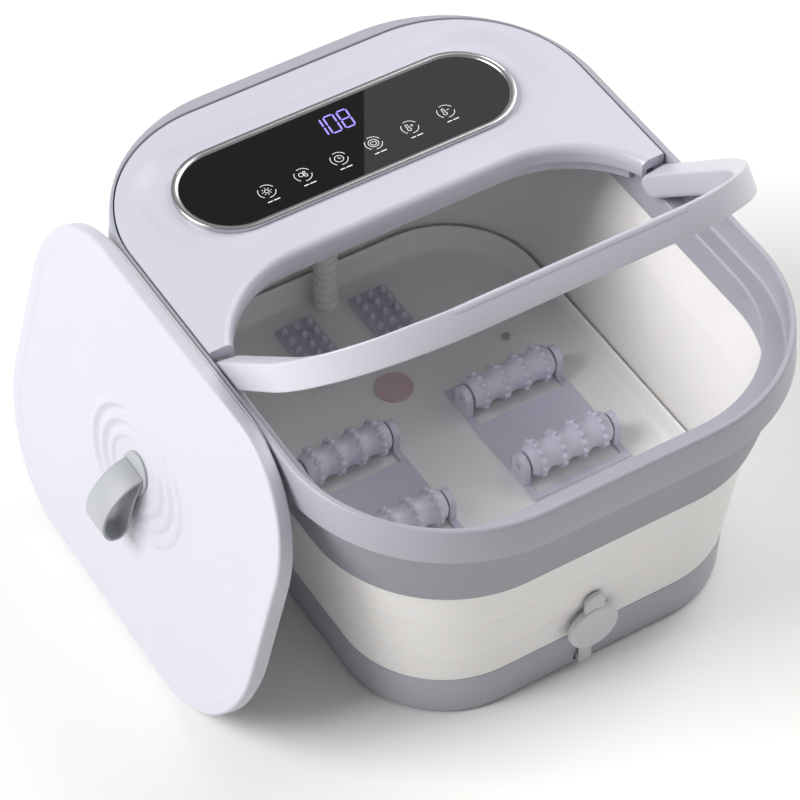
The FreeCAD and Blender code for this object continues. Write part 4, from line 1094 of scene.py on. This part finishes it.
def roller_nubs():
    """Blunt nubs in rings round a roller that lies along X, each ring turned a little from the last."""
    nubs = Recipe("roller_nubs", Rings=4, Ring_Step=0.0165, Nubs=12, Reach=0.012, Nub_Radius=0.0026)
    given = nubs.given
    circle = nubs.get("GeometryNodeMeshCircle", Vertices=given["Nubs"], Radius=given["Reach"])
    upright = nubs.get("GeometryNodeTransform", Geometry=circle, Rotation=(0, math.radians(90), 0))
    ball = nubs.get("GeometryNodeMeshUVSphere", Segments=10, Rings=7, Radius=given["Nub Radius"])
    ring = nubs.copies(upright, ball)
    first = nubs.get("ShaderNodeMath", {"operation": "MULTIPLY_ADD"}, given["Rings"], -0.5, 0.5)
    back = nubs.get("ShaderNodeMath", {"operation": "MULTIPLY"}, given["Ring Step"], first)
    line = nubs.get("GeometryNodeMeshLine", Count=given["Rings"],
                    Offset=nubs.get("ShaderNodeCombineXYZ", X=given["Ring Step"]))
    centred = nubs.get("GeometryNodeTransform", Geometry=line,
                       Translation=nubs.get("ShaderNodeCombineXYZ", X=back))
    turn = nubs.get("ShaderNodeMath", {"operation": "MULTIPLY"}, nubs.get("GeometryNodeInputIndex"),
                    math.radians(15))
    return nubs.end(nubs.copies(centred, ring, Rotation=nubs.get("ShaderNodeCombineXYZ", X=turn)))


def bellows_ribs():
    """Round ribs stacked along Z, as on a bellows."""
    ribs = Recipe("bellows_ribs", Count=18, Step=0.008, Radius=0.009, Rib_Radius=0.002)
    given = ribs.given
    rib = ribs.hoop(ribs.circle(given["Radius"], 32), ribs.circle(given["Rib Radius"], 8))
    line = ribs.get("GeometryNodeMeshLine", Count=given["Count"],
                    Offset=ribs.get("ShaderNodeCombineXYZ", Z=given["Step"]))
    return ribs.end(ribs.copies(line, rib))


def air_rings():
    """A small raised ring round each air hole in the tub floor."""
    rings = Recipe("air_rings", Columns=11, Rows=2, Width=0.14, Length=0.018, Radius=0.0024)
    ring = rings.hoop(rings.circle(rings.given["Radius"], 16), rings.circle(0.0006, 6))
    return rings.end(rings.copies(rings.grid(), ring))


def make_rollers():
    """Each roller is a waisted drum with four rings of nubs; its cradle and axle stay as they are."""
    nubs = roller_nubs()
    for side in ("left", "right"):
        for end in ("front", "rear"):
            node = f"roller_{side}_{end}"
            low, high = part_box(node)
            middle = (low + high) / 2
            half = (high.x - low.x) / 2 / MM
            profile = [(2.6, -half), (8.6, -half), (9.6, -half + 0.9)]
            for k in range(33):
                along = -half + 2 + (2 * half - 4) * k / 32
                profile.append((11.2 + 0.9 * math.cos(2 * math.pi * (along + 8.25) / 16.5), along))
            profile += [(9.6, half - 0.9), (8.6, half), (2.6, half)]
            drum = turned(f"{node}_drum", profile, middle / MM, "X", 48)
            done(drum, node, "roller", "roller_lilac", node)
            ring = nubs.run(f"{node}_nubs", Start=middle, Nubs=12, Reach=0.0118, Nub_Radius=0.0026,
                            Material=MATERIALS["roller"])
            done(ring, node, "roller", "roller_lilac")


def make_nub_strips():
    field = stud_field()
    for side in ("left", "right"):
        node = f"nub_strip_{side}"
        low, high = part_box(node)
        middle = (low + high) / 2
        base = block(f"{node}_base", low / MM, (high.x / MM, high.y / MM, low.z / MM + 3), 1.2)
        done(base, "base", "roller", "roller_lilac", node)
        studs = field.run(f"{node}_studs", Columns=3, Rows=6, Width=0.020, Length=0.050, Radius=0.0029,
                          Height=0.0066, Start=(middle.x, middle.y, low.z + 0.0025),
                          Material=MATERIALS["roller"])
        done(studs, "base", "roller", "roller_lilac")


def make_bellows():
    """The wire sleeve: a thin tube with ribs."""
    low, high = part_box("wire_bellows")
    middle = (low + high) / 2
    foot, top = low.z / MM, high.z / MM
    tube = turned("wire_sleeve", [(4.8, foot), (6.9, foot), (6.9, top), (4.8, top)],
                  (middle.x / MM, middle.y / MM, 0), "Z", 32)
    done(tube, "base", "wall", "wall_white", "wire_bellows")
    ribs = bellows_ribs().run("sleeve_ribs", Count=19, Step=0.008, Radius=0.0069, Rib_Radius=0.002,
                              Start=(middle.x, middle.y, low.z + 0.006), Material=MATERIALS["wall"])
    done(ribs, "base", "wall", "wall_white")
    for piece in (tube, ribs):
        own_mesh(piece)


def make_air_rings():
    piece = air_rings().run("air_outlets", Start=(0, -0.112, FLOOR * MM), Material=MATERIALS["tub"])
    done(piece, "base", "tub", "base_white")


# ---------------------------------------------------------------- studio


def look_at(item, target):
    item.rotation_euler = (Vector(target) - item.location).to_track_quat("-Z", "Y").to_euler()


def make_camera():
    data = bpy.data.cameras.new("view")
    data.sensor_width = 36.0
    data.lens = 156.57
    data.clip_end = 50
    camera = bpy.data.objects.new("view", data)
    bpy.context.scene.collection.objects.link(camera)
    camera.location = (-0.8431, -1.3175, 1.8242)
    look_at(camera, (-0.1390, -0.1685, 0.3275))
    bpy.context.scene.camera = camera


def soft_light(name, place, target, size, power):
    data = bpy.data.lights.new(name, "AREA")
    data.shape = "RECTANGLE"
    data.size, data.size_y = size
    data.energy = power
    light = bpy.data.objects.new(name, data)
    bpy.context.scene.collection.objects.link(light)
    light.location = place
    look_at(light, target)


ROOM_LIGHT = 0.31
SOFTBOX_TURN = math.radians(59)
SOFTBOX_RISE = math.radians(48)
SOFTBOX_SIZE = (0.9, 1.5)
SOFTBOX_AWAY = 3.0
SOFTBOX_POWER = 3.0


def make_room():
    world = bpy.data.worlds.new("studio")
    bpy.context.scene.world = world
    world.use_nodes = True
    background = world.node_tree.nodes["Background"]
    background.inputs[0].default_value = (0.98, 0.985, 1.0, 1)
    background.inputs[1].default_value = ROOM_LIGHT


def make_softbox():
    """A small softbox high behind the deck, its left edge in line with the middle of the panel."""
    panel = (bezel_low + bezel_high) / 2 * MM
    aside = Vector((math.sin(SOFTBOX_TURN), -math.cos(SOFTBOX_TURN), 0)) * SOFTBOX_SIZE[0] / 2
    flat = math.cos(SOFTBOX_RISE)
    away = Vector((flat * math.cos(SOFTBOX_TURN), flat * math.sin(SOFTBOX_TURN), math.sin(SOFTBOX_RISE)))
    soft_light("softbox", panel + aside + away * SOFTBOX_AWAY, panel + aside, SOFTBOX_SIZE, SOFTBOX_POWER)


def make_studio():
    make_room()
    make_softbox()
    far = 6000
    floor = mesh_object("pale_floor", [(-far, -far, 0), (far, -far, 0), (far, far, 0), (-far, far, 0)],
                        [(0, 1, 2, 3)])
    paint = Paint("pale_floor", (0.93, 0.925, 0.905), 0.75)
    paint.tint(paint.noise(400, 2), 0.01)
    floor.data.materials.append(paint.material)
    soft_light("key", (-4.8, 1.6, 3.9), (0, 0, 0.1), (4.0, 4.0), 430)
    soft_light("fill", (4.6, 0.9, 3.6), (0, 0, 0.1), (5.0, 5.0), 250)
    bpy.context.scene.view_settings.view_transform = "Standard"


# ---------------------------------------------------------------- all of it

for make in (finish_cad_nodes, make_camera, make_rim, make_skirt, make_wall, make_base, make_floor,
             make_deck, make_panel, make_bow, make_lid, make_boss, make_strap, make_plug, make_rollers,
             make_nub_strips, make_bellows, make_air_rings, make_studio):
    make()
